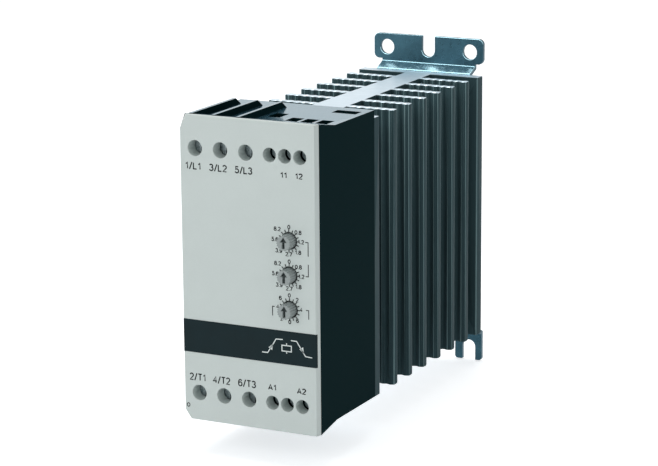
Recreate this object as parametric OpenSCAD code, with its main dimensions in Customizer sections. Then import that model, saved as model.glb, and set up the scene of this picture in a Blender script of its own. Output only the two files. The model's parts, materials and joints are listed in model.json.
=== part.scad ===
// Soft-start controller for a small motor, fixed to a panel by its heat sink's bracket.
// Inside the modules, x runs across, y is the depth behind the cover's front face,
// and z is the height above the cover's lower edge. in_place() moves all of it so that
// the origin lies between the bracket's two upper holes, on the mounting plane.

/* [Module] */
// Width of the module
body_w = 45; // [44:0.5:60]
// Height of the front cover
cover_h = 92.2; // [90:0.1:120]
// Depth from the cover's front face to the heat sink
housing_d = 38.2; // [38:0.1:50]
// Wall of the housing's two sides
side_wall = 1.8; // [1.4:0.1:1.8]
// Wall of the housing's top and bottom
end_wall = 2; // [1.2:0.1:2.4]
// Depth over which the housing's top and bottom slope in behind the cover
slope_d = 12.3; // [8:0.1:13]
// Drop of the housing's level top below the cover's top edge
level_drop = 1.9; // [1:0.1:2.2]

/* [Front cover] */
// Thickness of the front cover
cover_t = 1.9; // [1.6:0.1:2.4]
// Width of the bevel along the cover's long edges
bevel_w = 0.6; // [0.4:0.1:2]
// Depth of the bevel along the cover's long edges
bevel_d = 1.3; // [0.6:0.05:1.5]
// Cut left corners, measured across
left_cut_w = 2.6; // [0.5:0.1:3]
// Cut upper left corner, measured down from the top edge
left_cut_top = 5.6; // [1:0.1:6]
// Cut lower left corner, measured up from the lower edge
left_cut_low = 3.6; // [1:0.1:6]
// Depth at which the cuts on the left have run out
left_cut_d = 4.5; // [3:0.1:6]
// Cut right corners, measured across
right_cut_w = 0.6; // [0.2:0.1:1.2]
// Cut right corners, measured along the right edge
right_cut_h = 3.2; // [1:0.1:5]
// Depth at which the cuts on the right have run out
right_cut_d = 1.8; // [1:0.1:4]
// Thickness of the rim inside the housing's mouth
rim_t = 1.2; // [0.8:0.1:1.6]
// Length of the rim behind the cover's plate
rim_l = 2.5; // [1.6:0.1:2.6]
// Wall of a screwdriver tube behind the cover
tube_wall = 0.9; // [0.6:0.1:1]
// Gap between the rim and the housing's mouth
rim_gap = 0.2; // [0.1:0.05:0.4]
// Length of a snap barb on the rim
barb_l = 12; // [6:1:20]
// Thickness of a snap barb
barb_t = 1; // [0.6:0.1:1.4]
// Reach of a snap barb into the housing's wall
barb_h = 0.3; // [0.2:0.05:0.5]
// Distance of a snap barb behind the cover's plate
barb_y = 1; // [0.6:0.1:1.2]
// Height of the snap barbs above and below the cover's middle
barb_z = 22; // [12:1:26]
// Lower edge of the dark band on the cover
band_z = 20.8; // [18:0.1:24]
// Height of the dark band
band_h = 10; // [6:0.1:12]
// Thickness of the dark band's foil
band_t = 0.15; // [0.1:0.05:0.3]
// Reach of the band over the bevel at each end
band_wrap = 0.3; // [0.1:0.05:0.4]

/* [Dials] */
// Diameter of a dial's knob
dial_d = 4.5; // [3.6:0.1:4.8]
// Height of a knob in front of the cover
dial_proud = 3.6; // [2:0.1:6]
// Hole in the cover around a knob
dial_hole_d = 5.2; // [5:0.1:6]
// Distance of the dials from the cover's right edge
dial_edge = 9; // [8:0.05:12]
// Distance of the lowest dial above the dark band
dial_gap = 6.6; // [5:0.1:9]
// Distance from one dial to the next
dial_pitch = 10.2; // [9:0.05:11]
// Number of grip flutes on a knob
flutes = 18; // [12:1:24]
// Depth of a grip flute
flute_depth = 0.22; // [0.1:0.02:0.3]
// Width of the pointer groove in a knob's face
pointer_w = 0.9; // [0.5:0.1:1.2]
// Depth of the pointer groove
pointer_deep = 0.9; // [0.4:0.1:1.5]
// Diameter of a knob's shaft
shaft_d = 2.5; // [1.5:0.1:3]
// Width and height of a rotary switch's body
switch_w = 7.6; // [6:0.1:8.6]
// Depth of a rotary switch's body
switch_d = 4.5; // [3.5:0.1:5]

/* [Terminal rows] */
// Distance of the upper screw row from the cover's top edge
top_row_edge = 9.7; // [9.4:0.1:11]
// Distance of the lower screw row from the cover's lower edge
low_row_edge = 8.45; // [7.5:0.05:9.6]
// Length of a clamp cage along its wire
cage_l = 8; // [6:0.1:8.4]
// Wall between a terminal pocket and the inside of the housing
pocket_wall = 1.1; // [0.8:0.1:1.6]
// Gap around a clamp cage in its pocket
pocket_gap = 0.2; // [0.15:0.05:0.3]
// Front of the terminal blocks, behind the cover's front face
block_y = 4.9; // [4.7:0.1:5.2]

/* [Gaps between the pockets] */
// Gap to the left of the first power pocket
left_gap = 0.35; // [0.2:0.05:1]
// Gap from one power pocket to the next
power_gap = 1.75; // [1:0.05:2.5]
// Gap between the power pockets and the small ones
group_gap = 2.45; // [1:0.05:4]
// Gap from one small pocket to the next
small_gap = 0.8; // [0.5:0.05:1.5]
// Gap to the right of the last small pocket
right_gap = 1.4; // [0.5:0.05:3]

/* [Power terminals] */
// Screwdriver hole over a power screw
power_hole_d = 4.7; // [4:0.1:5]
// Thread diameter of a power screw
power_screw_d = 3.5; // [3:0.1:4]
// Head diameter of a power screw
power_head_d = 5.4; // [5:0.1:6]
// Head height of a power screw
power_head_l = 2.4; // [1.6:0.1:2.6]
// Head of a power screw, behind the cover's front face
power_head_y = 4.6; // [4.4:0.1:5]
// Free length of a power screw between its head and its contact bar
power_reach = 7.4; // [6.8:0.1:8]
// Width of a power contact bar
power_bar_w = 4.4; // [3:0.1:4.6]
// Thickness of a power contact bar
power_bar_t = 1.2; // [0.8:0.1:1.6]
// Width of a power clamp cage
power_cage_w = 6.4; // [6.2:0.1:6.8]
// Side wall of a power clamp cage
power_cage_side = 0.7; // [0.6:0.1:0.8]
// Front and back wall of a power clamp cage
power_cage_end = 1.4; // [1:0.1:1.6]
// Width of a power wire entry
power_entry_w = 4.1; // [3:0.1:4.4]
// Depth of a power wire entry
power_entry_d = 6.3; // [5:0.1:6.5]

/* [Small terminals] */
// Screwdriver hole over a small screw
small_hole_d = 4.2; // [3.4:0.1:4.3]
// Thread diameter of a small screw
small_screw_d = 2.5; // [2:0.1:2.6]
// Head diameter of a small screw
small_head_d = 3.6; // [3.2:0.1:3.9]
// Head height of a small screw
small_head_l = 1.4; // [1:0.1:1.6]
// Head of a small screw, behind the cover's front face
small_head_y = 4.9; // [4.8:0.1:5.6]
// Free length of a small screw between its head and its contact bar
small_reach = 5; // [4.8:0.1:5.4]
// Width of a small contact bar
small_bar_w = 2.5; // [1.8:0.1:2.6]
// Thickness of a small contact bar
small_bar_t = 0.8; // [0.6:0.1:1]
// Width of a small clamp cage
small_cage_w = 3.9; // [3.8:0.05:4]
// Side wall of a small clamp cage
small_cage_side = 0.5; // [0.4:0.05:0.55]
// Front and back wall of a small clamp cage
small_cage_end = 1; // [0.8:0.05:1.1]
// Width of a small wire entry
small_entry_w = 3.9; // [2.4:0.1:4]
// Depth of a small wire entry
small_entry_d = 5.3; // [4:0.1:5.6]

/* [Top of the housing] */
// Offset of a power wire entry from its screw, to clear the rib beside it
power_entry_shift = 0.8; // [0:0.1:0.9]
// Offset of a small wire entry from its screw
small_entry_shift = 0.6; // [0:0.1:0.6]
// Thickness of a barrier rib
rib_t = 1.1; // [0.6:0.1:1.2]
// Height of a barrier rib above the level top
rib_h = 2.1; // [0.6:0.1:2.4]
// Depth at which the barrier ribs end
rib_end = 31.5; // [24:0.1:36]
// Slope at the end of a barrier rib
rib_slope = 3; // [0.5:0.1:4]
// Distance of each rib to the left of the power screw beside it
rib_shift = [2.3, 3.2, 3.45]; // [2:0.05:4.2]
// Width of the catch slot at the back of the top
catch_w = 7.9; // [4:0.1:9]
// Depth of the catch slot
catch_d = 4.4; // [2:0.1:5]
// Distance of the catch slot from the right side
catch_edge = 2; // [1.9:0.1:6]
// Distance of the catch slot from the heat sink
catch_back = 4.3; // [2:0.1:5]

/* [Heat sink] */
// Lower end of the heat sink above the cover's lower edge
sink_z = 0.7; // [0:0.1:6]
// Upper end of the heat sink below the cover's top edge
sink_drop = 5; // [2:0.1:6]
// Offset of the heat sink and its bracket to the left of the housing's middle
sink_left = 0.65; // [0:0.05:1]
// Width of the heat sink over its fins, its base plate and its rear plate
sink_w = 42.8; // [40:0.1:43]
// Thickness of the heat sink's base plate
base_t = 7; // [5:0.1:8]
// Width of the heat sink's spine at the base plate
spine_w = 11.2; // [9:0.1:14]
// Width of the spine at the rear plate
spine_back_w = 9; // [6:0.1:9]
// Number of fins on each side of the spine
fin_count = 6; // [2:1:10]
// Distance from one fin to the next
fin_pitch = 10.89; // [7:0.01:14]
// Gap between the base plate and the first fin
first_gap = 9.8; // [8:0.1:14]
// Thickness of a fin over its ripples
fin_t = 3.2; // [2.2:0.1:4]
// Depth of the ripples on a fin's faces
ripple_h = 0.42; // [0.1:0.02:0.6]
// Distance from one ripple to the next
ripple_pitch = 2.67; // [2:0.01:4]
// Gap between the last fin and the rear plate
rear_gap = 6.4; // [5:0.05:10]
// Thickness of the rear plate
rear_t = 4.3; // [2.5:0.1:5]

/* [Bracket] */
// Thickness of the bracket's sheet
sheet_t = 1.5; // [1:0.1:2]
// Distance from the bracket's web to the mounting plane
stand_off = 4.1; // [4:0.1:8]
// Width of the bracket's ears
ear_w = 39.4; // [36:0.1:42]
// Height of an ear
ear_h = 8.4; // [7:0.1:10]
// Radius of an ear's corners
ear_r = 1.8; // [0.5:0.1:2.5]
// Width of the bracket's web and its upper neck
neck_w = 33.6; // [26:0.2:34]
// Rise of the upper neck from the heat sink's end to the ear
neck_rise = 2.8; // [2.2:0.1:5]
// Drop of the lower neck from the heat sink's end to the ear
neck_drop = 2.8; // [2.2:0.1:5]
// Rise of the sloping part of the neck
slope_rise = 1.7; // [1:0.1:2]
// Diameter of the two holes in the upper ear
ear_hole_d = 5; // [4:0.1:5.4]
// Distance between the two holes in the upper ear
ear_hole_gap = 29.9; // [26:0.1:30]
// Height of the hole centres above the upper ear's lower edge
ear_hole_h = 4; // [3.5:0.05:5]
// Width of the open slots in the ears
slot_w = 4.7; // [3:0.1:5]
// Bottom of the open slot above the upper ear's lower edge
slot_h = 1.4; // [1:0.1:3]
// Distance between the slots in the two lower forks
low_slot_gap = 30.2; // [29:0.1:31]
// Top of the lower slots, below the upper edge of the forks' flat part
low_slot_h = 1.55; // [1:0.05:3]
// Gap between the two lower forks
fork_gap = 20.2; // [16:0.1:22]
// Height of the widened part of the web over the forks
fork_h = 10; // [4:0.5:14]
// Rounding of the forks' ends
fork_r = 1; // [0.4:0.1:1.1]

/* [Fixing screws] */
// Thread diameter of the inner fixing screws
fix_d = 3; // [2.5:0.1:3.5]
// Head diameter of the inner fixing screws
fix_head_d = 5.5; // [4.5:0.1:6]
// Head height of the inner fixing screws
fix_head_l = 2.2; // [1.5:0.1:2.6]
// Distance of the housing's screw bosses from the middle
boss_x = 11; // [10:0.1:12]
// Distance of the housing's screw bosses from the cover's ends
boss_edge = 8.5; // [8:0.1:9.5]
// Diameter of a screw boss
boss_d = 7; // [6:0.1:8]
// Height of the bracket's screws above and below the heat sink's middle
bracket_screw_z = 24; // [10:1:34]
// Length of a housing screw's thread in its boss
boss_bite = 8; // [5:0.5:10]
// Length of a semiconductor screw's thread in the heat sink
chip_bite = 4; // [3:0.1:4.5]
// Length of a bracket screw past the rear plate
bracket_past = 1; // [0:0.1:3]

/* [Electronics] */
// Distance of a bar's bend past the terminal block
tail_gap = 1.2; // [0.8:0.1:2]
// Width of a bar's solder tail
tail_w = 1.6; // [1:0.1:2.4]
// Length of a solder tail past its board
tail_past = 1; // [0.5:0.1:1.2]
// Thickness of a circuit board
board_t = 1.6; // [1:0.1:1.8]
// Gap between the cover's plate and the rotary switches
switch_gap = 0.3; // [0.2:0.1:0.6]
// Free length of the semiconductors' leads up to the power board
lead_l = 2.2; // [2:0.1:4]
// Play of the control board between the housing's walls
board_play = 0.2; // [0.1:0.05:0.5]
// Distance of the larger components from the power board's edges
board_margin = 0.5; // [0.2:0.1:2]
// Gap between the semiconductors' leads and the components beside them
lead_gap = 0.8; // [0.4:0.1:2]
// Distance of the surge varistors from the boards' middle
varistor_up = 14; // [8:0.5:18]
// Height of the board pins above the boards' lower edge
pin_up = 7; // [4:0.5:10]
// Gap between the plug strip and the through bar
pin_gap = 0.6; // [0.3:0.1:2]
// Width of the rails that carry the control board
rail_w = 1.5; // [1:0.1:2]
// Depth of the rails that carry the boards
rail_d = 1.8; // [1:0.1:2]
// Distance of a rail's ends from the board's ends
rail_in = 3; // [1:0.5:10]
// Width of a power semiconductor
chip_w = 17; // [12:0.5:17.5]
// Height of a power semiconductor's moulded body
chip_h = 26; // [20:0.5:28]
// Depth of a power semiconductor
chip_d = 8.3; // [6:0.1:8.4]
// Length of the fixing tab at each end of a semiconductor
tab_l = 6; // [6:0.5:8]
// Thickness of a fixing tab
tab_t = 3; // [2:0.1:3.5]
// Distance of the semiconductors from the middle
chip_x = 9.6; // [9:0.1:10]
// Rim of the insulating pad around the semiconductors
pad_rim = 0.5; // [0:0.1:1]
// Thickness of the insulating pad on the heat sink
pad_t = 0.3; // [0.2:0.05:0.5]
// Diameter of a component lead
lead_d = 1.2; // [0.8:0.1:1.4]
// Width of the signal relay
relay_w = 15; // [10:0.5:15]
// Gap between the signal relay and the end of the power board
relay_gap = 2.9; // [1:0.05:10]
// Depth of the signal relay
relay_d = 10; // [6:0.1:10]
// Diameter of the supply capacitor
capacitor_d = 10; // [6:0.5:12]
// Length of the supply capacitor
capacitor_l = 12; // [8:0.5:14]
// Diameter of a surge varistor
varistor_d = 9; // [6:0.5:9.5]
// Thickness of a surge varistor
varistor_t = 4; // [2:0.5:5]
// Number of pins between the boards
pin_count = 6; // [3:1:8]
// Distance from one board pin to the next
pin_pitch = 2.54; // [2:0.01:3]
// Thickness of a board pin
pin_t = 0.7; // [0.5:0.1:1]

/* [Hidden] */
$fn = 48;
// Overshoot of a cut past the face that it opens
cut = 1;
// Radial play of a thread or shaft in its hole
fit = 0.05;
// Play of a flat piece in its slot
slot_play = 0.1;
// Gap between a screw's head and the tube in front of it
head_gap = 0.3;
// Gap between a clamp cage and its bar or screw head at the ends of its travel
end_gap = 0.2;

half_w = body_w / 2;
flat_w = body_w - 2 * bevel_w;
mouth_w = body_w - 2 * side_wall;
power_cell = power_cage_w + 2 * slot_play;
small_cell = small_cage_w + 2 * slot_play;
// The gaps keep their proportions in the width that the pockets leave
spread = (mouth_w - 3 * power_cell - 3 * small_cell)
       / (left_gap + 2 * power_gap + group_gap + 2 * small_gap + right_gap);
power_pitch = power_cell + power_gap * spread;
small_pitch = small_cell + small_gap * spread;
mouth_z = level_drop + end_wall;
base_back = housing_d + base_t;
fin_core = fin_t - 2 * ripple_h;
fin_len = (sink_w - spine_w) / 2;
ripples = max(1, round(fin_len / ripple_pitch));
ripple_steps = 8;
first_fin_y = base_back + first_gap;
rear_y = first_fin_y + (fin_count - 1) * fin_pitch + fin_t + rear_gap;
web_y = rear_y + rear_t;
mount_y = web_y + sheet_t + stand_off;
sink_x = -sink_left;
sink_top = cover_h - sink_drop;
sink_l = sink_top - sink_z;
sink_mid = sink_z + sink_l / 2;
ear_low_z = sink_top + neck_rise;
hole_z = ear_low_z + ear_hole_h;
low_ear_top = sink_z - neck_drop;

pocket_z0 = min(mouth_z, min(top_row_edge, low_row_edge) - cage_l / 2 - pocket_gap);
pocket_z1 = max(top_row_edge, low_row_edge) + cage_l / 2 + pocket_gap;
block_z = pocket_z1 + pocket_wall;
pocket_floor = 1.4;
power_bar_y = power_head_y + power_head_l + power_reach;
small_bar_y = small_head_y + small_head_l + small_reach;
power_entry_y = power_bar_y + power_bar_t + end_gap;
small_entry_y = small_bar_y + small_bar_t + slot_play;
power_cage_back = power_entry_y + power_entry_d + slot_play;
small_cage_back = small_entry_y + small_entry_d + slot_play;
block_back = power_cage_back + power_cage_end + end_gap + pocket_floor;

board_z0 = block_z + head_gap;
board_z1 = cover_h - board_z0;
board_mid = cover_h / 2;
switch_y = cover_t + switch_gap;
control_board_y = switch_y + switch_d;
control_board_w = mouth_w - 2 * board_play;
control_back = control_board_y + board_t;
chip_y = housing_d - pad_t - chip_d;
power_board_w = control_board_w - 2 * rail_w;
power_board_back = chip_y - lead_l;
power_board_y = power_board_back - board_t;
tab_y = housing_d - pad_t - tab_t;
chip_hole_z = chip_h / 2 + tab_l / 2;
bar_bend_z = block_z + tail_gap;
dial_x = half_w - dial_edge;
relay_x = power_board_w / 2 - board_margin - relay_w / 2;
lead_edge = chip_h / 4 + lead_d / 2 + lead_gap;
relay_h = board_z1 - relay_gap - board_mid - lead_edge;
relay_z = board_mid + lead_edge + relay_h / 2;
capacitor_x = power_board_w / 2 - board_margin - capacitor_d / 2;
capacitor_z = board_mid - lead_edge - capacitor_d / 2;
varistor_x = -power_board_w / 2 + board_margin + varistor_t / 2;
strip_w = pin_count * pin_pitch + pin_t;
strip_h = 2.5;

// Terminal groups: name, power size or small size, top row or bottom row
GROUPS = [["line", true, true], ["signal", false, true],
          ["load", true, false], ["control", false, false]];
DIALS = ["ramp_up", "ramp_down", "torque"];
// Power terminals whose bar ends in the power board; the middle one runs straight through
OUTER = [1, 3];

// Screw position across the module, for a power or a small terminal
function term_x(power, i) = power
    ? -mouth_w / 2 + left_gap * spread + power_cell / 2 + (i - 1) * power_pitch
    : mouth_w / 2 - right_gap * spread - small_cell / 2 - (3 - i) * small_pitch;
// Distance of a screw row from the cover's end
function row_edge(top) = top ? top_row_edge : low_row_edge;
function dial_z(i) = band_z + band_h + dial_gap + (2 - i) * dial_pitch;
function fin_y(k) = first_fin_y + fin_t / 2 + k * fin_pitch;
// Height of the ripples at a share of the fin's length
function ripple(share) = ripple_h * (1 - cos(360 * ripples * share)) / 2;

module in_place() {
    translate([-sink_x, -mount_y, -hole_z]) children();
}

// Bottom row as drawn, top row mirrored about the cover's middle
module at_row(top) {
    if (top) translate([0, 0, cover_h]) mirror([0, 0, 1]) children();
    else children();
}

// Box from its x centre and width, and its y and z limits
module slab(x, w, y0, y1, z0, z1) {
    translate([x - w / 2, y0, z0]) cube([w, y1 - y0, z1 - z0]);
}

// Round bar along the depth, from y0 to y1
module rod(x, z, d, y0, y1) {
    translate([x, y0, z]) rotate([-90, 0, 0]) cylinder(d = d, h = y1 - y0);
}

module rounded_plate(w, h, r) {
    translate([-w / 2 + r, 0]) square([w - 2 * r, h]);
    translate([-w / 2, r]) square([w, h - 2 * r]);
    for (x = [-1, 1], z = [r, h - r]) translate([x * (w / 2 - r), z]) circle(r = r);
}

// Outline in depth and height, drawn across a width centred on x
module across(x, w) {
    translate([x - w / 2, 0, 0]) rotate([90, 0, 90]) linear_extrude(w) children();
}

// Everything beyond the sloping plane that cuts one front corner
module corner_cut(side, top) {
    w = side < 0 ? left_cut_w : right_cut_w;
    h = side > 0 ? right_cut_h : top ? left_cut_top : left_cut_low;
    n = [side / w, -1 / (side < 0 ? left_cut_d : right_cut_d), (top ? 1 : -1) / h];
    reach = 3 * left_cut_top;
    translate([side * (half_w - w), 0, top ? cover_h : 0])
        rotate([0, acos(n.z / norm(n)), atan2(n.y, n.x)])
            translate([-reach / 2, -reach / 2, 0]) cube([reach, reach, reach / 2]);
}

module cut_corners() {
    difference() {
        children();
        for (side = [-1, 1], top = [false, true]) corner_cut(side, top);
    }
}

// Housing

module housing_outline() {
    polygon([[cover_t, 0], [slope_d, level_drop], [housing_d, level_drop],
             [housing_d, cover_h - level_drop], [slope_d, cover_h - level_drop],
             [cover_t, cover_h]]);
}

module pocket(power, i) {
    w = power ? power_cell : small_cell;
    back = power ? power_cage_back + power_cage_end : small_cage_back + small_cage_end;
    bar_y = power ? power_bar_y : small_bar_y;
    bar_t = power ? power_bar_t : small_bar_t;
    bar_w = power ? power_bar_w : small_bar_w;
    entry_y = power ? power_entry_y : small_entry_y;
    entry_w = power ? power_entry_w : small_entry_w;
    entry_d = power ? power_entry_d : small_entry_d;
    x = term_x(power, i);
    slab(x, w, block_y - cut, back + end_gap, pocket_z0, pocket_z1);
    slab(x, bar_w + 2 * slot_play, bar_y - slot_play, bar_y + bar_t + slot_play,
         pocket_z1 - cut, block_z + cut);
    slab(x + (power ? power_entry_shift : small_entry_shift), entry_w,
         entry_y, entry_y + entry_d, -cut, pocket_z0 + cut / 2);
}

// Barriers between the power wires, on the top and on the bottom
module barrier_ribs() {
    for (i = [1:3])
        across(term_x(true, i) - rib_shift[i - 1], rib_t)
            polygon([[cover_t, mouth_z], [cover_t, level_drop - rib_h],
                     [rib_end - rib_slope, level_drop - rib_h],
                     [rib_end, level_drop], [rib_end, mouth_z]]);
}

module board_rails() {
    for (side = [-1, 1]) {
        slab(side * (half_w - side_wall / 2 - rail_w / 2), side_wall + rail_w,
             control_back, control_back + rail_d, board_z0 + rail_in, board_z1 - rail_in);
        slab(side * (half_w - side_wall / 2 - rail_w), side_wall + 2 * rail_w,
             power_board_back, power_board_back + rail_d, board_z0 + rail_in, board_z1 - rail_in);
    }
}

// Snap barb on the rim, or with some play the groove for it in the housing
module barb(side, up, play) {
    root = mouth_w / 2 - rim_gap - rim_t / 2;
    tip = mouth_w / 2 + barb_h + play;
    z = board_mid + up * barb_z;
    slab(side * (root + tip) / 2, tip - root, cover_t + barb_y - play,
         cover_t + barb_y + barb_t + play, z - barb_l / 2 - play, z + barb_l / 2 + play);
}

module housing() color([0.1, 0.14, 0.15]) in_place() cut_corners() difference() {
    union() {
        difference() {
            across(0, body_w) housing_outline();
            slab(0, mouth_w, 0, housing_d + cut, mouth_z, cover_h - mouth_z);
        }
        for (top = [false, true]) at_row(top) {
            slab(0, mouth_w + side_wall, block_y, block_back, mouth_z - end_wall / 2, block_z);
            for (side = [-1, 1])
                rod(side * boss_x, boss_edge, boss_d, block_back - cut, housing_d);
            barrier_ribs();
        }
        board_rails();
    }
    for (top = [false, true]) at_row(top) {
        for (i = [1:3], power = [true, false]) pocket(power, i);
        for (side = [-1, 1])
            rod(side * boss_x, boss_edge, fix_d + 2 * fit, block_back, housing_d + cut);
        slab(half_w - catch_edge - catch_w / 2, catch_w,
             housing_d - catch_back - catch_d, housing_d - catch_back, -cut, mouth_z + cut / 2);
    }
    for (side = [-1, 1], up = [-1, 1]) barb(side, up, slot_play);
}

// Front cover, dark band, dials and their switches

module cover_outline() {
    polygon([[-half_w, bevel_d], [-flat_w / 2, 0], [flat_w / 2, 0], [half_w, bevel_d],
             [half_w, cover_t], [-half_w, cover_t]]);
}

module driver_tubes(top) {
    at_row(top) {
        for (i = [1:3])
            rod(term_x(true, i), row_edge(top), power_hole_d + 2 * tube_wall,
                cover_t - cut / 2, power_head_y - head_gap);
        slab(term_x(false, 2), 2 * small_pitch + small_hole_d + 2 * tube_wall, cover_t - cut / 2,
             small_head_y - head_gap, row_edge(top) - small_hole_d / 2 - tube_wall,
             row_edge(top) + small_hole_d / 2 + tube_wall);
    }
}

module front_cover() color([0.8, 0.83, 0.82]) in_place() cut_corners() difference() {
    union() {
        linear_extrude(cover_h) cover_outline();
        difference() {
            slab(0, mouth_w - 2 * rim_gap, cover_t - cut / 2, cover_t + rim_l,
                 mouth_z + rim_gap, cover_h - mouth_z - rim_gap);
            slab(0, mouth_w - 2 * rim_gap - 2 * rim_t, 0, cover_t + rim_l + cut,
                 mouth_z + rim_gap + rim_t, cover_h - mouth_z - rim_gap - rim_t);
        }
        for (side = [-1, 1], up = [-1, 1]) barb(side, up, 0);
        for (top = [false, true]) driver_tubes(top);
    }
    for (top = [false, true], i = [1:3]) at_row(top) {
        rod(term_x(true, i), row_edge(top), power_hole_d, -cut, housing_d);
        rod(term_x(false, i), row_edge(top), small_hole_d, -cut, housing_d);
    }
    for (i = [0:2]) rod(dial_x, dial_z(i), dial_hole_d, -cut, housing_d);
}

// The band's foil on the flat of the cover and a little way over both bevels
module label_band() color([0.13, 0.19, 0.19]) in_place()
    translate([0, 0, band_z]) linear_extrude(band_h) {
        end = [flat_w / 2 + band_wrap, band_wrap * bevel_d / bevel_w];
        near = [[-end.x, end.y], [-flat_w / 2, 0], [flat_w / 2, 0], end];
        polygon(concat(near, [for (k = [3:-1:0]) near[k] - [0, band_t]]));
    }

// Outline of a knob: a circle with shallow flutes between flat lands
module knob_outline() {
    polygon([for (k = [0:flutes - 1], s = [0:3])
        let (r = dial_d / 2 - (s < 2 ? 0 : flute_depth), a = 360 * (k + s / 4) / flutes)
        r * [cos(a), sin(a)]]);
}

// Pointer groove: an arrow that points up at rest
module pointer_outline() {
    r = dial_d / 2;
    polygon([[-pointer_w / 2, -0.75 * r], [pointer_w / 2, -0.75 * r], [pointer_w / 2, 0.1 * r],
             [0.5 * r, 0.1 * r], [0, 0.8 * r], [-0.5 * r, 0.1 * r], [-pointer_w / 2, 0.1 * r]]);
}

module dial(i) color([0.55, 0.58, 0.57]) in_place() translate([dial_x, 0, dial_z(i)]) {
    rotate([90, 0, 0]) difference() {
        translate([0, 0, -cover_t]) linear_extrude(dial_proud + cover_t) knob_outline();
        translate([0, 0, dial_proud - pointer_deep])
            linear_extrude(pointer_deep + cut) pointer_outline();
    }
    rod(0, 0, shaft_d, cover_t - cut / 2, control_board_y - end_gap);
}

module rotary_switch(i) color([0.2, 0.22, 0.24]) in_place() difference() {
    slab(dial_x, switch_w, switch_y, control_board_y, dial_z(i) - switch_w / 2,
         dial_z(i) + switch_w / 2);
    rod(dial_x, dial_z(i), shaft_d + 2 * fit, switch_y - cut, control_board_y + cut);
}

// Terminals

module terminal_screw(group, i) {
    power = group[1];
    d = power ? power_screw_d : small_screw_d;
    head_d = power ? power_head_d : small_head_d;
    head_l = power ? power_head_l : small_head_l;
    head_y = power ? power_head_y : small_head_y;
    reach = power ? power_reach : small_reach;
    drive_w = head_d / 6;
    color([0.72, 0.76, 0.78]) in_place() at_row(group[2])
        translate([term_x(power, i), 0, row_edge(group[2])]) difference() {
            union() {
                rod(0, 0, head_d, head_y, head_y + head_l);
                rod(0, 0, d, head_y + head_l / 2, head_y + head_l + reach);
            }
            slab(0, drive_w, head_y - cut, head_y + head_l / 2, -head_d, head_d);
        }
}

module clamp_cage(group, i) {
    power = group[1];
    w = power ? power_cage_w : small_cage_w;
    side = power ? power_cage_side : small_cage_side;
    end = power ? power_cage_end : small_cage_end;
    d = power ? power_screw_d : small_screw_d;
    front = (power ? power_bar_y : small_bar_y) - end_gap;
    back = power ? power_cage_back : small_cage_back;
    color([0.62, 0.64, 0.64]) in_place() at_row(group[2])
        translate([term_x(power, i), 0, row_edge(group[2])]) difference() {
            slab(0, w, front - end, back + end, -cage_l / 2, cage_l / 2);
            slab(0, w - 2 * side, front, back, -cage_l, cage_l);
            rod(0, 0, d + 2 * fit, front - end - cut, front + cut);
        }
}

// Contact bar under a terminal, bent towards the board that it is soldered to
module contact_bar(group, i) {
    power = group[1];
    w = power ? power_bar_w : small_bar_w;
    t = power ? power_bar_t : small_bar_t;
    y = power ? power_bar_y : small_bar_y;
    free_end = row_edge(group[2]) - cage_l / 2 + end_gap;
    tail_y0 = power ? y : control_board_y - tail_past;
    tail_y1 = power ? power_board_back + tail_past : y + t;
    color([0.8, 0.55, 0.35]) in_place() at_row(group[2]) translate([term_x(power, i), 0, 0]) {
        slab(0, w, y, y + t, free_end, bar_bend_z + t);
        slab(0, tail_w, tail_y0, tail_y1, bar_bend_z, bar_bend_z + t);
    }
}

module through_bar() color([0.8, 0.55, 0.35]) in_place() {
    inset = cage_l / 2 - end_gap;
    slab(term_x(true, 2), power_bar_w, power_bar_y, power_bar_y + power_bar_t,
         row_edge(false) - inset, cover_h - row_edge(true) + inset);
}

// Electronics

// Slots for the tails of one kind of bar, through the board from y to y + board_t
module tail_slots(power, y) {
    t = power ? power_bar_t : small_bar_t;
    for (top = [false, true], i = power ? OUTER : [1:3]) at_row(top)
        slab(term_x(power, i), tail_w + 2 * slot_play, y - cut, y + board_t + cut,
             bar_bend_z - slot_play, bar_bend_z + t + slot_play);
}

module control_board() color([0.1, 0.35, 0.22]) in_place() difference() {
    slab(0, control_board_w, control_board_y, control_back, board_z0, board_z1);
    tail_slots(false, control_board_y);
}

module chip_leads(x, play) {
    for (dx = [-1, 1], dz = [-1, 1])
        rod(x + dx * chip_w / 4, board_mid + dz * chip_h / 4, lead_d + play,
            power_board_y - tail_past, chip_y + cut);
}

module power_board() color([0.1, 0.35, 0.22]) in_place() difference() {
    slab(0, power_board_w, power_board_y, power_board_back, board_z0, board_z1);
    tail_slots(true, power_board_y);
    for (side = [-1, 1]) chip_leads(side * chip_x, 2 * slot_play);
}

// Plug strip on the control board, with pins down to the power board
module board_link() color([0.25, 0.25, 0.27]) in_place() {
    pin_x = term_x(true, 2) + power_bar_w / 2 + pin_gap + strip_w / 2;
    pin_z = board_z0 + pin_up;
    slab(pin_x, strip_w, control_back, control_back + strip_h, pin_z - strip_h / 2,
         pin_z + strip_h / 2);
    for (k = [0:pin_count - 1])
        slab(pin_x + (k - (pin_count - 1) / 2) * pin_pitch, pin_t, control_back + cut,
             power_board_y, pin_z - pin_t / 2, pin_z + pin_t / 2);
}

module thyristor(side) color([0.18, 0.18, 0.2]) in_place() difference() {
    union() {
        slab(side * chip_x, chip_w, chip_y, housing_d - pad_t, board_mid - chip_h / 2,
             board_mid + chip_h / 2);
        slab(side * chip_x, chip_w, tab_y, housing_d - pad_t,
             board_mid - chip_h / 2 - tab_l, board_mid + chip_h / 2 + tab_l);
        chip_leads(side * chip_x, 0);
    }
    chip_holes(side, fix_d + 4 * fit);
}

module chip_holes(side, d) {
    for (up = [-1, 1])
        rod(side * chip_x, board_mid + up * chip_hole_z, d, chip_y - cut, base_back + cut);
}

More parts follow.
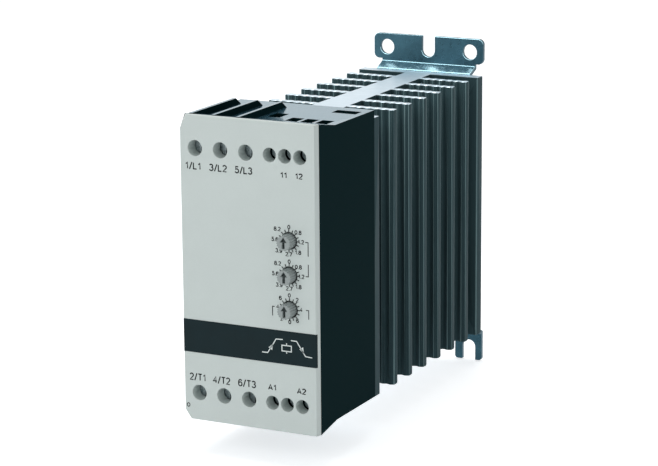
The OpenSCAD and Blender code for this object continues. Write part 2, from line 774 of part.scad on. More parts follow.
module insulating_pad() color([0.75, 0.72, 0.6]) in_place() difference() {
    slab(0, 2 * chip_x + chip_w + 2 * pad_rim, housing_d - pad_t, housing_d,
         board_mid - chip_h / 2 - tab_l - pad_rim, board_mid + chip_h / 2 + tab_l + pad_rim);
    for (side = [-1, 1]) chip_holes(side, fix_d + 4 * fit);
}

module signal_relay() color([0.15, 0.3, 0.55]) in_place()
    slab(relay_x, relay_w, power_board_y - relay_d, power_board_y, relay_z - relay_h / 2,
         relay_z + relay_h / 2);

module supply_capacitor() color([0.2, 0.2, 0.3]) in_place()
    rod(capacitor_x, capacitor_z, capacitor_d, power_board_y - capacitor_l, power_board_y);

// Disc varistors that stand on the power board
module surge_varistors() color([0.15, 0.3, 0.65]) in_place() {
    for (up = [-1, 1])
        translate([varistor_x, power_board_y - varistor_d / 2, board_mid + up * varistor_up])
            rotate([0, 90, 0]) {
                translate([0, 0, -varistor_t / 2]) cylinder(d = varistor_d, h = varistor_t);
                translate([0, varistor_d / 4, 0])
                    cube([varistor_d / 2, varistor_d / 2, varistor_t], center = true);
            }
}

// Heat sink, its bracket and the fixing screws

module fin_outline() {
    n = ripples * ripple_steps;
    polygon(concat(
        [[0, -fin_core / 2]],
        [for (k = [0:n]) [spine_w / 2 + fin_len * k / n, -fin_core / 2 - ripple(k / n)]],
        [for (k = [n:-1:0]) [spine_w / 2 + fin_len * k / n, fin_core / 2 + ripple(k / n)]],
        [[0, fin_core / 2]]));
}

module sink_outline() {
    translate([-sink_w / 2, housing_d]) square([sink_w, base_t]);
    polygon([[-spine_w / 2, housing_d], [spine_w / 2, housing_d],
             [spine_back_w / 2, web_y], [-spine_back_w / 2, web_y]]);
    translate([-sink_w / 2, rear_y]) square([sink_w, rear_t]);
    for (k = [0:fin_count - 1], side = [0, 1])
        translate([0, fin_y(k)]) mirror([side, 0]) fin_outline();
}

module bracket_holes(d, y0, y1) {
    for (side = [-1, 1], up = [-1, 1])
        rod(sink_x + side * neck_w / 3, sink_mid + up * bracket_screw_z, d, y0, y1);
}

module heat_sink() color([0.16, 0.2, 0.21]) in_place() difference() {
    translate([sink_x, 0, sink_z]) linear_extrude(sink_l) sink_outline();
    for (side = [-1, 1]) {
        chip_holes(side, fix_d + 2 * fit);
        for (top = [false, true]) at_row(top)
            rod(side * boss_x, boss_edge, fix_d + 4 * fit, housing_d - cut, base_back + cut);
    }
    bracket_holes(fix_d + 2 * fit, rear_y - cut, web_y + cut);
}

// Point of a bent sheet's far face: p on its near face, between two directions
function mitre(p, a, b) =
    let (na = [a.y, -a.x] / norm(a), nb = [b.y, -b.x] / norm(b))
    p + sheet_t * (na + nb) / (1 + na * nb);

// Side view of one end of the bracket, from the web's middle to the ear's edge
module bent_end(edge_z, neck, ear_z) {
    up = sign(ear_z - edge_z);
    bend = edge_z + up * (neck - slope_rise) / 3;
    near = [[web_y, sink_mid], [web_y, bend], [web_y + stand_off, bend + up * slope_rise],
            [web_y + stand_off, ear_z]];
    d = [for (k = [0:2]) near[k + 1] - near[k]];
    s = [for (v = d) [v.x, up * v.y]];
    far = [for (k = [1:2])
        let (p = [near[k].x, up * near[k].y], q = mitre(p, s[k - 1], s[k])) [q.x, up * q.y]];
    polygon([near[0], near[1], near[2], near[3], [web_y + stand_off + sheet_t, ear_z],
             far[1], far[0], [web_y + sheet_t, sink_mid]]);
}

// Front view of the bracket: upper ear, web and the widened part with the two forks
module bracket_face() {
    low = low_ear_top - ear_h;
    translate([0, ear_low_z]) rounded_plate(ear_w, ear_h, ear_r);
    translate([-neck_w / 2, sink_z]) square([neck_w, ear_low_z - sink_z + ear_r]);
    translate([0, sink_z]) rounded_plate(ear_w, fork_h, fork_r);
    for (side = [-1, 1]) translate([side * (ear_w + fork_gap) / 4, low])
        rounded_plate((ear_w - fork_gap) / 2, sink_z + fork_h - low, fork_r);
}

// Open slot across the sheet, from its round end past the ear's edge
module ear_slot(x, end_z, up) {
    y0 = web_y + stand_off - cut;
    y1 = web_y + stand_off + sheet_t + cut;
    rod(sink_x + x, end_z + up * slot_w / 2, slot_w, y0, y1);
    z = end_z + up * (slot_w / 2 + ear_h / 2);
    slab(sink_x + x, slot_w, y0, y1, z - ear_h / 2, z + ear_h / 2);
}

module mounting_bracket() color([0.55, 0.62, 0.66]) in_place() difference() {
    intersection() {
        across(sink_x, ear_w + cut) {
            bent_end(sink_top, neck_rise, ear_low_z + ear_h);
            bent_end(sink_z, neck_drop, low_ear_top - ear_h);
        }
        translate([sink_x, mount_y + cut, 0]) rotate([90, 0, 0])
            linear_extrude(mount_y) bracket_face();
    }
    for (side = [-1, 1]) {
        rod(sink_x + side * ear_hole_gap / 2, hole_z, ear_hole_d, web_y, mount_y + cut);
        ear_slot(side * low_slot_gap / 2, low_ear_top - low_slot_h, -1);
    }
    ear_slot(0, ear_low_z + slot_h, 1);
    bracket_holes(fix_d + 4 * fit, web_y - cut, web_y + sheet_t + cut);
}

// Screw along the depth: head at y, thread towards +y or -y
module fixing_screw(x, z, y, l, way) {
    drive_w = fix_head_d / 6;
    translate([x, y, z]) rotate([0, 0, way > 0 ? 0 : 180]) difference() {
        union() {
            rod(0, 0, fix_head_d, -fix_head_l, 0);
            rod(0, 0, fix_d, -fix_head_l / 2, l);
        }
        slab(0, drive_w, -fix_head_l - cut, -fix_head_l / 2, -fix_head_d, fix_head_d);
    }
}

module housing_screws() color([0.7, 0.72, 0.72]) in_place()
    for (side = [-1, 1], top = [false, true]) at_row(top)
        fixing_screw(side * boss_x, boss_edge, base_back, base_t + boss_bite, -1);

module thyristor_screws() color([0.7, 0.72, 0.72]) in_place()
    for (side = [-1, 1], up = [-1, 1])
        fixing_screw(side * chip_x, board_mid + up * chip_hole_z, tab_y,
                     tab_t + pad_t + chip_bite, 1);

module bracket_screws() color([0.7, 0.72, 0.72]) in_place()
    for (side = [-1, 1], up = [-1, 1])
        fixing_screw(sink_x + side * neck_w / 3, sink_mid + up * bracket_screw_z, web_y + sheet_t,
                     sheet_t + rear_t + bracket_past, -1);

heat_sink();
housing();
front_cover();
label_band();
mounting_bracket();
for (i = [0:2]) {
    dial(i);
    rotary_switch(i);
}
for (g = GROUPS, i = [1:3]) {
    terminal_screw(g, i);
    clamp_cage(g, i);
}
for (g = GROUPS, i = g[1] ? OUTER : [1:3])
    contact_bar(g, i);
through_bar();
control_board();
power_board();
board_link();
thyristor(-1);  // thyristor_1
thyristor(1);  // thyristor_3
insulating_pad();
signal_relay();
supply_capacitor();
surge_varistors();
housing_screws();
thyristor_screws();
bracket_screws();
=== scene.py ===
import json
import math

import bmesh
import bpy
from bpy.props import FloatProperty, FloatVectorProperty, IntProperty, PointerProperty
from mathutils import Matrix, Vector

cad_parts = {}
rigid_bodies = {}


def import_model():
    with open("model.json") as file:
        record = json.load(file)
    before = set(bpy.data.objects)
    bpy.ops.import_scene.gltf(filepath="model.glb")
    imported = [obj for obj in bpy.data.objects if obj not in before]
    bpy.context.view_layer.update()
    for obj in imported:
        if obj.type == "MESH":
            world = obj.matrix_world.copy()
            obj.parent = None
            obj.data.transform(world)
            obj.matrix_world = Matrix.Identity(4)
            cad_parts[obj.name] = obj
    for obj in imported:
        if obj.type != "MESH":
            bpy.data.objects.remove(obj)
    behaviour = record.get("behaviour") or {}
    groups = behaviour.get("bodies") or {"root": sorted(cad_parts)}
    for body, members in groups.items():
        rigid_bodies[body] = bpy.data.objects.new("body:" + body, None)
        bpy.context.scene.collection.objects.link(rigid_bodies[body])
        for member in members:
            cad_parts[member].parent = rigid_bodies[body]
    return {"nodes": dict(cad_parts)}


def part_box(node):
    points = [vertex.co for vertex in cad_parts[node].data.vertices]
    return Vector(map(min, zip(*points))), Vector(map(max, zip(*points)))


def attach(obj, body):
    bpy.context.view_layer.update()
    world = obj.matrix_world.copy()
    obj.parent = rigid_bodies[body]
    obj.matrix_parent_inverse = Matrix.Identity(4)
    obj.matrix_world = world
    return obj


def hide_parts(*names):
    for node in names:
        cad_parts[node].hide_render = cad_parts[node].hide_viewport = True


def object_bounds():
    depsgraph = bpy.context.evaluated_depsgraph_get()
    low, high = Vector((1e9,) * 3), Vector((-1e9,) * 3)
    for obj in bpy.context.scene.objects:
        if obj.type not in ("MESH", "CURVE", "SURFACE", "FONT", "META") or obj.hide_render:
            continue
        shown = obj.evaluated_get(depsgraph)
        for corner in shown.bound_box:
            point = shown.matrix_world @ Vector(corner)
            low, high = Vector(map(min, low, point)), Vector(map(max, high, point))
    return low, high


bl_info = {
    "name": "Soft-start controller",
    "version": (1, 0, 0),
    "blender": (4, 5, 0),
    "location": "View3D > Sidebar > Controller",
    "description": "Dresses the CAD frame of a soft-start motor controller and sets its studio",
    "category": "Object",
}

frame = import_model()
NODES = frame["nodes"]
CAD_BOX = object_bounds()

MM = 0.001
DIALS = ("ramp_up", "ramp_down", "torque")
COVER_LO, COVER_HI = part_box("front_cover")
COVER_X = (COVER_LO.x + COVER_HI.x) / 2
FACE_Y = COVER_LO.y
BAND_FACE_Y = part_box("label_band")[0].y


def srgb(red, green, blue):
    """Linear colour of an 8-bit display colour."""
    def linear(value):
        value /= 255
        return value / 12.92 if value <= 0.04045 else ((value + 0.055) / 1.055) ** 2.4
    return linear(red), linear(green), linear(blue)


def shade(base, factor, lift=0.0):
    """A colour made darker or brighter by a factor, and then lifted evenly."""
    return tuple(min(1.0, value * factor + lift) for value in base)


def on_cover(x, z, y=FACE_Y):
    """Place on the cover: x from its middle, z above its lower edge, in mm."""
    return Vector((COVER_X + x * MM, y, COVER_LO.z + z * MM))


# Sizes, colours and lamps that a user would change

def length(name, description, default):
    """A length, whose default is in mm."""
    return FloatProperty(name=name, description=description, default=default * MM, min=0.0,
                         unit="LENGTH", precision=5)


def colour(name, description, default):
    return FloatVectorProperty(name=name, description=description, default=default, size=3,
                               min=0.0, max=1.0, subtype="COLOR")


def share(name, description, default, highest=10.0):
    return FloatProperty(name=name, description=description, default=default, min=0.0, max=highest)


class ControllerShape(bpy.types.PropertyGroup):
    cover_edge: length("Cover edge", "Rounding of the moulded cover's edges", 0.16)
    housing_edge: length("Housing edge", "Rounding of the moulded housing's edges", 0.12)
    band_edge: length("Band edge", "Rounding of the foil band's edges", 0.04)
    sheet_edge: length("Sheet edge", "Rounding of the bracket's stamped edges", 0.14)
    knob_edge: length("Knob edge", "Rounding of a setting knob's edges", 0.05)
    head_edge: length("Screw edge", "Rounding of the screw heads' rims", 0.22)
    cage_edge: length("Cage edge", "Rounding of the clamp cages' edges", 0.08)
    fin_edge: length("Fin edge", "Rounding of the fins' long edges", 0.3)
    ink: length("Ink", "Thickness of the printed marks", 0.02)
    tick_radius: length("Tick radius", "Radius of the middle of a dial's ring of ticks", 3.05)
    tick_length: length("Tick length", "Length of one tick", 0.75)
    tick_width: length("Tick width", "Width of one tick", 0.3)
    tick_count: IntProperty(name="Ticks", description="Number of ticks around a dial",
                            default=16, min=4, max=40)
    line_width: length("Line width", "Width of the printed lines beside the dials", 0.26)
    symbol_width: length("Symbol width", "Width of the white symbols' lines", 0.3)
    letter_width: length("Letter width", "Width of the lines of the terminal numbers", 0.37)
    digit_width: length("Digit width", "Width of the lines of the numbers beside the dials", 0.26)


class ControllerFinish(bpy.types.PropertyGroup):
    cover: colour("Cover", "Light grey plastic of the front cover", srgb(201, 210, 207))
    ink: colour("Ink", "Dark ink of the printed marks", srgb(12, 16, 18))
    band: colour("Band", "Dark foil band", srgb(9, 29, 33))
    symbol: colour("Symbol", "Light ink of the symbols on the band", srgb(214, 222, 220))
    knob: colour("Knob", "Grey plastic of the setting knobs", srgb(146, 154, 153))
    pointer: colour("Pointer", "Dark paint in the knobs' pointer grooves", srgb(62, 68, 68))
    housing: colour("Housing", "Black plastic of the housing", srgb(3, 29, 32))
    # The upper and lower faces of the black housing get this lighter colour, and the bluish tint below on
    # their reflections: a painted sheen over their real gloss
    painted_sheen: colour("Polish", "Polished upper and lower faces of the housing", srgb(46, 84, 100))
    sheen: colour("Sheen", "Tint of what the polished faces mirror", (0.5, 0.85, 1.0))
    anodised: colour("Anodised", "Black anodised faces of the heat sink", srgb(49, 69, 73))
    # The next two colours brighten the heat sink's rounded edges and ripple crests: partly wear, partly
    # painted highlights
    rubbed_and_highlit: colour("Rubbed", "Rubbed edges and ripple crests of the heat sink", srgb(104, 128, 131))
    worn_and_highlit: colour("Worn", "Sharp edges of the heat sink, worn brightest", srgb(120, 142, 146))
    sawn: colour("Sawn", "Bare aluminium of the heat sink's sawn ends", srgb(208, 223, 232))
    # This zinc colour is darkened: a painted reflection of the dark studio in front, which the bracket's
    # front faces mirror
    zinc: colour("Zinc", "Zinc plating of the bracket", srgb(55, 85, 97))
    # The fold's much lighter zinc is a painted highlight: the bright sky that its upward faces mirror
    fold: colour("Fold", "Zinc plating on the fold of the bracket", srgb(184, 227, 240))
    steel: colour("Steel", "Plated steel of the screws", srgb(176, 186, 190))
    cage: colour("Cage", "Plated steel of the clamp cages", shade(srgb(176, 186, 190), 0.8))
    copper: colour("Copper", "Tinned copper of the contact bars", srgb(206, 150, 112))
    board: colour("Board", "Green solder resist of the circuit boards", (0.012, 0.075, 0.036))
    track: colour("Track", "Tracks under the solder resist", (0.03, 0.16, 0.07))
    strip: colour("Strip", "Plastic of the pin strip between the boards", (0.02, 0.02, 0.022))
    chip: colour("Chip", "Moulded cases of the semiconductors", (0.012, 0.012, 0.014))
    switch: colour("Switch", "Plastic of the rotary switches", (0.018, 0.02, 0.022))
    pad: colour("Pad", "Insulating pad under the semiconductors", (0.42, 0.4, 0.33))
    relay: colour("Relay", "Plastic case of the relay", (0.02, 0.08, 0.25))
    sleeve: colour("Sleeve", "Shrunk sleeve of the capacitor", (0.012, 0.014, 0.045))
    varistor: colour("Varistor", "Lacquer of the surge varistors", (0.02, 0.09, 0.3))


class ControllerStudio(bpy.types.PropertyGroup):
    ambient: share("Ambient", "Even light from all round", 0.4)
    ambient_tint: colour("Ambient tint", "Colour of the even light", (0.95, 0.98, 1.0))
    key: share("Key", "Brightness of the front softbox", 2.05)
    side: share("Side", "Brightness of the softbox on the right", 1.0)
    top: share("Top", "Brightness of the overhead softbox", 3.0)
    floor: colour("Floor", "Pale floor", (0.86, 0.87, 0.88))
    floor_lift: share("Floor lift", "Share of the floor's own brightness", 0.62, 1.0)
    lens: FloatProperty(name="Lens", description="Focal length for a 36 mm wide sensor",
                        default=138.563, min=1.0, subtype="DISTANCE_CAMERA")


def tone(name):
    """A colour of the finish group, by its name."""
    return tuple(getattr(bpy.context.scene.controller_finish, name))


# Finishes

class Finish:
    """Short way to write a material's nodes around one Principled shader."""

    def __init__(self, name, metallic=0.0, specular=0.5, ior=1.5):
        self.material = bpy.data.materials.new(name)
        self.material.use_nodes = True
        self.nodes = self.material.node_tree.nodes
        self.nodes.clear()
        out = self.nodes.new("ShaderNodeOutputMaterial")
        self.shader = self.nodes.new("ShaderNodeBsdfPrincipled")
        self.put(self.shader.outputs[0], out.inputs["Surface"])
        self.give("Metallic", metallic)
        self.give("Specular IOR Level", specular)
        self.give("IOR", ior)
        self.place = self.nodes.new("ShaderNodeTexCoord").outputs["Object"]

    def put(self, value, target):
        """Feeds a socket from another socket, or sets its colour or number."""
        if isinstance(value, bpy.types.NodeSocket):
            self.material.node_tree.links.new(value, target)
        else:
            target.default_value = (*value, 1.0) if isinstance(value, tuple) else value

    def give(self, name, value):
        """Sets or feeds an input of the shader."""
        self.put(value, self.shader.inputs[name])

    def noise(self, size, detail=2.0, roughness=0.5, stretch=(1, 1, 1)):
        """Noise whose patches are about size mm across, longer where stretch is above 1."""
        mapping = self.nodes.new("ShaderNodeMapping")
        mapping.inputs["Scale"].default_value = [1 / (size * MM * s) for s in stretch]
        self.put(self.place, mapping.inputs["Vector"])
        texture = self.nodes.new("ShaderNodeTexNoise")
        texture.inputs["Scale"].default_value = 1.0
        texture.inputs["Detail"].default_value = detail
        texture.inputs["Roughness"].default_value = roughness
        self.put(mapping.outputs[0], texture.inputs["Vector"])
        return texture.outputs["Fac"]

    def spread(self, value, low, high, start=0.3, end=0.7):
        """Value from start to end, spread over low to high."""
        node = self.nodes.new("ShaderNodeMapRange")
        for name, number in (("From Min", start), ("From Max", end), ("To Min", low), ("To Max", high)):
            node.inputs[name].default_value = number
        self.put(value, node.inputs["Value"])
        return node.outputs[0]

    def product(self, first, second):
        node = self.nodes.new("ShaderNodeMath")
        node.operation = "MULTIPLY"
        self.put(first, node.inputs[0])
        self.put(second, node.inputs[1])
        return node.outputs[0]

    def mixed(self, part, first, second):
        """The first colour, with this part of the second one."""
        node = self.nodes.new("ShaderNodeMix")
        node.data_type = "RGBA"
        # The node's colours go into its sockets 6 and 7, and come out of its socket 2
        for value, index in ((part, 0), (first, 6), (second, 7)):
            self.put(value, node.inputs[index])
        return node.outputs[2]

    # This edge mask brightens edges as wear, and on the heat sink also as a painted highlight
    def edge_wear_and_highlight(self, radius):
        """1 on edges, 0 from radius mm away from them, broken up by noise."""
        bevel = self.nodes.new("ShaderNodeBevel")
        bevel.samples = 4
        bevel.inputs["Radius"].default_value = radius * MM
        geometry = self.nodes.new("ShaderNodeNewGeometry")
        dot = self.nodes.new("ShaderNodeVectorMath")
        dot.operation = "DOT_PRODUCT"
        self.put(bevel.outputs[0], dot.inputs[0])
        self.put(geometry.outputs["Normal"], dot.inputs[1])
        edge = self.spread(dot.outputs["Value"], low=1.0, high=0.0, start=0.8, end=0.98)
        return self.product(edge, self.spread(self.noise(1.2, detail=3.0), low=0.35, high=1.0))

    def bump(self, height, strength, distance):
        """Raises the surface by distance mm of height, and gives back the finished material."""
        node = self.nodes.new("ShaderNodeBump")
        node.inputs["Strength"].default_value = strength
        node.inputs["Distance"].default_value = distance * MM
        self.put(height, node.inputs["Height"])
        self.give("Normal", node.outputs[0])
        return self.material


def moulded(name, base, rough, grain, specular=0.5, edges=0.0):
    """Moulded plastic: slight mottling, a fine eroded texture and a lighter colour along the edges."""
    finish = Finish(name, specular=specular)
    surface = finish.mixed(finish.noise(9, detail=4.0), shade(base, 0.965), shade(base, 1.03))
    specks = finish.spread(finish.noise(0.35, detail=3.0), low=0.0, high=0.22)
    surface = finish.mixed(specks, surface, shade(base, 0.9))
    if edges:
        rubbed_and_highlit = finish.product(finish.edge_wear_and_highlight(0.2), edges)
        surface = finish.mixed(rubbed_and_highlit, surface, shade(base, 1.25, lift=0.03))
    finish.give("Base Color", surface)
    texture = finish.noise(grain, detail=4.0, roughness=0.6)
    finish.give("Roughness", finish.spread(texture, low=rough - 0.05, high=rough + 0.07))
    return finish.bump(texture, strength=0.25, distance=0.02)


def polished(name, base):
    """Glossy plastic that mirrors the bright studio at a low angle, with a lighter base colour and a bluish
    reflection tint that paint its sheen.
    """
    finish = Finish(name, metallic=0.35, specular=0.8, ior=1.6)
    finish.give("Specular Tint", tone("sheen"))
    finish.give("Coat Weight", 0.58)
    finish.give("Coat Roughness", 0.12)
    cloud = finish.noise(6, detail=4.0)
    finish.give("Base Color", finish.mixed(cloud, shade(base, 0.9), shade(base, 1.2)))
    texture = finish.noise(0.3, detail=4.0, roughness=0.6)
    finish.give("Roughness", finish.spread(texture, low=0.2, high=0.3))
    return finish.bump(texture, strength=0.08, distance=0.01)


def printed(name, base):
    """Screen-printed ink, slightly uneven in density."""
    finish = Finish(name, specular=0.12)
    patches = finish.spread(finish.noise(0.25, detail=3.0, roughness=0.6), low=0.0, high=0.5)
    finish.give("Base Color", finish.mixed(patches, base, shade(base, 1.25)))
    finish.give("Roughness", finish.spread(finish.noise(0.5), low=0.49, high=0.63))
    return finish.bump(finish.noise(0.12), strength=0.1, distance=0.004)


def foil(name, base):
    """Printed foil with a leathery satin face and faint scratches."""
    finish = Finish(name, specular=0.12)
    cloud = finish.mixed(finish.noise(7, detail=4.0), shade(base, 0.8), shade(base, 1.35))
    scratches = finish.spread(finish.noise(0.35, stretch=(14, 1, 0.6)),
                              low=0.0, high=0.3, start=0.66, end=0.78)
    finish.give("Base Color", finish.mixed(scratches, cloud, shade(base, 2.0)))
    texture = finish.noise(0.3, detail=4.0, roughness=0.65)
    finish.give("Roughness", finish.spread(texture, low=0.34, high=0.5))
    return finish.bump(texture, strength=0.2, distance=0.012)


def anodised(name, base):
    """Black anodised extrusion: fine lines along the extruded length, and brighter edges that are partly
    wear and partly a painted highlight.
    """
    finish = Finish(name, specular=0.03)
    cloud = finish.mixed(finish.noise(12, detail=4.0), shade(base, 0.8), shade(base, 1.2))
    lines = finish.noise(0.22, detail=3.0, roughness=0.6, stretch=(1, 1, 90))
    surface = finish.mixed(finish.spread(lines, low=0.0, high=0.5), cloud, shade(base, 1.6))
    # Edges brightened: partly wear, partly painted highlight
    rubbed_and_highlit = finish.product(finish.edge_wear_and_highlight(0.3), 0.45)
    finish.give("Base Color", finish.mixed(rubbed_and_highlit, surface, tone("worn_and_highlit")))
    finish.give("Roughness", finish.spread(lines, low=0.4, high=0.56))
    return finish.bump(lines, strength=0.25, distance=0.012)


def sawn(name, base):
    """Sawn aluminium: parallel tooth marks across the cut, with brighter ridges."""
    finish = Finish(name, metallic=0.9)
    cloud = finish.mixed(finish.noise(5, detail=4.0), shade(base, 0.9), shade(base, 1.08))
    marks = finish.noise(0.16, detail=3.0, roughness=0.6, stretch=(30, 1, 1))
    finish.give("Base Color", finish.mixed(finish.spread(marks, low=0.0, high=0.35), cloud,
                                           shade(base, 0.72)))
    finish.give("Roughness", finish.spread(marks, low=0.32, high=0.5))
    return finish.bump(marks, strength=0.35, distance=0.012)


def plated(name, base, rough, stretch, edges=0.25):
    """Plated sheet or turned steel: a cloudy film, fine drawing marks and brighter edges."""
    finish = Finish(name, metallic=1.0)
    film = finish.spread(finish.noise(4, detail=5.0, roughness=0.6), low=0.0, high=1.0)
    surface = finish.mixed(film, shade(base, 0.82), shade(base, 1.15))
    drawn = finish.noise(0.2, detail=3.0, roughness=0.6, stretch=stretch)
    surface = finish.mixed(finish.spread(drawn, low=0.0, high=0.35), surface, shade(base, 0.8))
    bright = finish.product(finish.edge_wear_and_highlight(0.2), edges)
    finish.give("Base Color", finish.mixed(bright, surface, shade(base, 1.6, lift=0.1)))
    patches = finish.noise(1.5, detail=4.0)
    finish.give("Roughness", finish.spread(patches, low=rough - 0.07, high=rough + 0.09))
    return finish.bump(drawn, strength=0.2, distance=0.01)


def circuit_board(name, base):
    """Solder resist over woven glass, with paler tracks that shine through."""
    finish = Finish(name)
    cells = finish.nodes.new("ShaderNodeTexVoronoi")
    cells.feature, cells.distance = "DISTANCE_TO_EDGE", "CHEBYCHEV"
    cells.inputs["Scale"].default_value = 1 / (3.5 * MM)
    finish.put(finish.place, cells.inputs["Vector"])
    tracks = finish.spread(cells.outputs["Distance"], low=1.0, high=0.0, start=0.05, end=0.09)
    finish.give("Base Color", finish.mixed(tracks, base, tone("track")))
    weave = finish.noise(0.5, stretch=(3, 1, 3))
    finish.give("Roughness", finish.spread(weave, low=0.3, high=0.45))
    return finish.bump(tracks, strength=0.3, distance=0.03)


# Of each finish: its maker, its colour in the finish group, and the maker's other values
FINISHES = {
    "cover plastic": (moulded, "cover", {"rough": 0.5, "grain": 0.16, "specular": 0.4, "edges": 0.35}),
    "mark ink": (printed, "ink", {}),
    "symbol ink": (printed, "symbol", {}),
    "pointer paint": (printed, "pointer", {}),
    "band foil": (foil, "band", {}),
    "knob plastic": (moulded, "knob", {"rough": 0.42, "grain": 0.12, "edges": 0.5}),
    "housing side": (moulded, "housing", {"rough": 0.55, "grain": 0.2, "specular": 0.01, "edges": 0.3}),
    # The housing's upper and lower faces: painted sheen over a real gloss
    "housing top": (polished, "painted_sheen", {}),
    "sink anodised": (anodised, "anodised", {}),
    # Rounded edges and ripple crests of the heat sink: a brighter colour, partly wear and partly painted
    # highlight
    "sink edges": (anodised, "rubbed_and_highlit", {}),
    "sink sawn": (sawn, "sawn", {}),
    # Bracket zinc, darkened as a painted reflection of a dark studio
    "bracket zinc": (plated, "zinc", {"rough": 0.3, "stretch": (12, 12, 1)}),
    # The bracket's fold: a painted highlight in a much lighter zinc colour
    "bracket fold": (plated, "fold", {"rough": 0.22, "stretch": (12, 1, 1), "edges": 0.2}),
    "screw steel": (plated, "steel", {"rough": 0.28, "stretch": (1, 6, 1)}),
    "cage steel": (plated, "cage", {"rough": 0.36, "stretch": (1, 8, 1)}),
    "bar copper": (plated, "copper", {"rough": 0.32, "stretch": (1, 1, 10)}),
    "board green": (circuit_board, "board", {}),
    "strip black": (moulded, "strip", {"rough": 0.45, "grain": 0.15}),
    "chip black": (moulded, "chip", {"rough": 0.55, "grain": 0.1}),
    "switch black": (moulded, "switch", {"rough": 0.4, "grain": 0.2}),
    "pad grey": (moulded, "pad", {"rough": 0.7, "grain": 0.3}),
    "relay blue": (moulded, "relay", {"rough": 0.35, "grain": 0.2}),
    "capacitor sleeve": (foil, "sleeve", {}),
    "varistor blue": (moulded, "varistor", {"rough": 0.3, "grain": 0.4}),
}
MATERIALS = {}


def finish_of(name):
    """The finish with this name, made the first time that a piece asks for it."""
    if name not in MATERIALS:
        maker, base, values = FINISHES[name]
        MATERIALS[name] = maker(name, tone(base), **values)
    return MATERIALS[name]


# Mesh work

# Points nearer than this are doubles, and faces that meet at less than this count as one flat face
DOUBLE, FLAT = 0.001 * MM, math.radians(0.4)
# Shares of a length or a normal from which it counts as nearly, or mostly, along one axis
NEARLY, MOSTLY = 0.9, 0.6


def placed(name, data):
    """A new object at the origin, with this mesh, lamp or camera."""
    item = bpy.data.objects.new(name, data)
    bpy.context.scene.collection.objects.link(item)
    return item


def made(name, work):
    """A new mesh object from a bmesh, which is freed."""
    mesh = bpy.data.meshes.new(name)
    work.to_mesh(mesh)
    work.free()
    return placed(name, mesh)


def merged_copy(node, name, flat=True):
    """A copy of a CAD node with its doubles merged and, if asked, its flat faces joined."""
    work = bmesh.new()
    work.from_mesh(NODES[node].data)
    bmesh.ops.remove_doubles(work, verts=work.verts, dist=DOUBLE)
    if flat:
        # Faces that look backwards stay as they are, since the cover's back has too many holes to join
        edges = [edge for edge in work.edges if all(face.normal.y < NEARLY for face in edge.link_faces)]
        bmesh.ops.dissolve_limit(work, angle_limit=FLAT, verts=work.verts, edges=edges)
    return made(name, work)


def applied(piece):
    """Turns the piece's modifiers into plain mesh."""
    bpy.context.view_layer.update()
    evaluated = piece.evaluated_get(bpy.context.evaluated_depsgraph_get())
    mesh = bpy.data.meshes.new_from_object(evaluated)
    piece.modifiers.clear()
    old = piece.data
    piece.data = mesh
    bpy.data.meshes.remove(old)
    mesh.name = piece.name
    return piece


def round_edges(piece, width, segments, method="ANGLE", clamp=False):
    """Adds a rounding of the edges, and gives it back for further settings."""
    bevel = piece.modifiers.new("edge", "BEVEL")
    bevel.width, bevel.segments = width, segments
    bevel.limit_method = method
    bevel.use_clamp_overlap = clamp
    return bevel


def smooth_faces(mesh):
    """Shades every face smooth."""
    mesh.polygons.foreach_set("use_smooth", [True] * len(mesh.polygons))


def smoothed(piece, angle):
    """Smooth shading between faces that meet at less than the angle."""
    smooth_faces(piece.data)
    piece.data.set_sharp_from_angle(angle=math.radians(angle))
    return piece


def softened(node, name, width, angle=35.0, segments=2, clamp=False):
    """A copy of a CAD node with its edges rounded and its flat faces shaded flat."""
    piece = merged_copy(node, name)
    round_edges(piece, width, segments, clamp=clamp).angle_limit = math.radians(angle)
    smooth_faces(piece.data)
    normals = piece.modifiers.new("even shading", "WEIGHTED_NORMAL")
    normals.mode, normals.weight = "FACE_AREA", 80
    return applied(piece)


def paint(piece, *finishes):
    """Gives a piece its finishes, in the order of its faces' material numbers."""
    piece.data.materials.clear()
    for name in finishes:
        piece.data.materials.append(finish_of(name))


def dress(piece, body, slot, *finishes):
    """Gives a finished piece its finishes, and lets it ride on its body; the slot is not used."""
    paint(piece, *finishes)
    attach(piece, body)


def joined(name, pieces):
    """Joins mesh objects into one new object."""
    work = bmesh.new()
    for piece in pieces:
        work.from_mesh(piece.data)
        old = piece.data
        bpy.data.objects.remove(piece)
        bpy.data.meshes.remove(old)
    return made(name, work)


def is_level(face):
    """True for a face that looks up or down."""
    return abs(face.normal.z) > MOSTLY


# Geometry Nodes

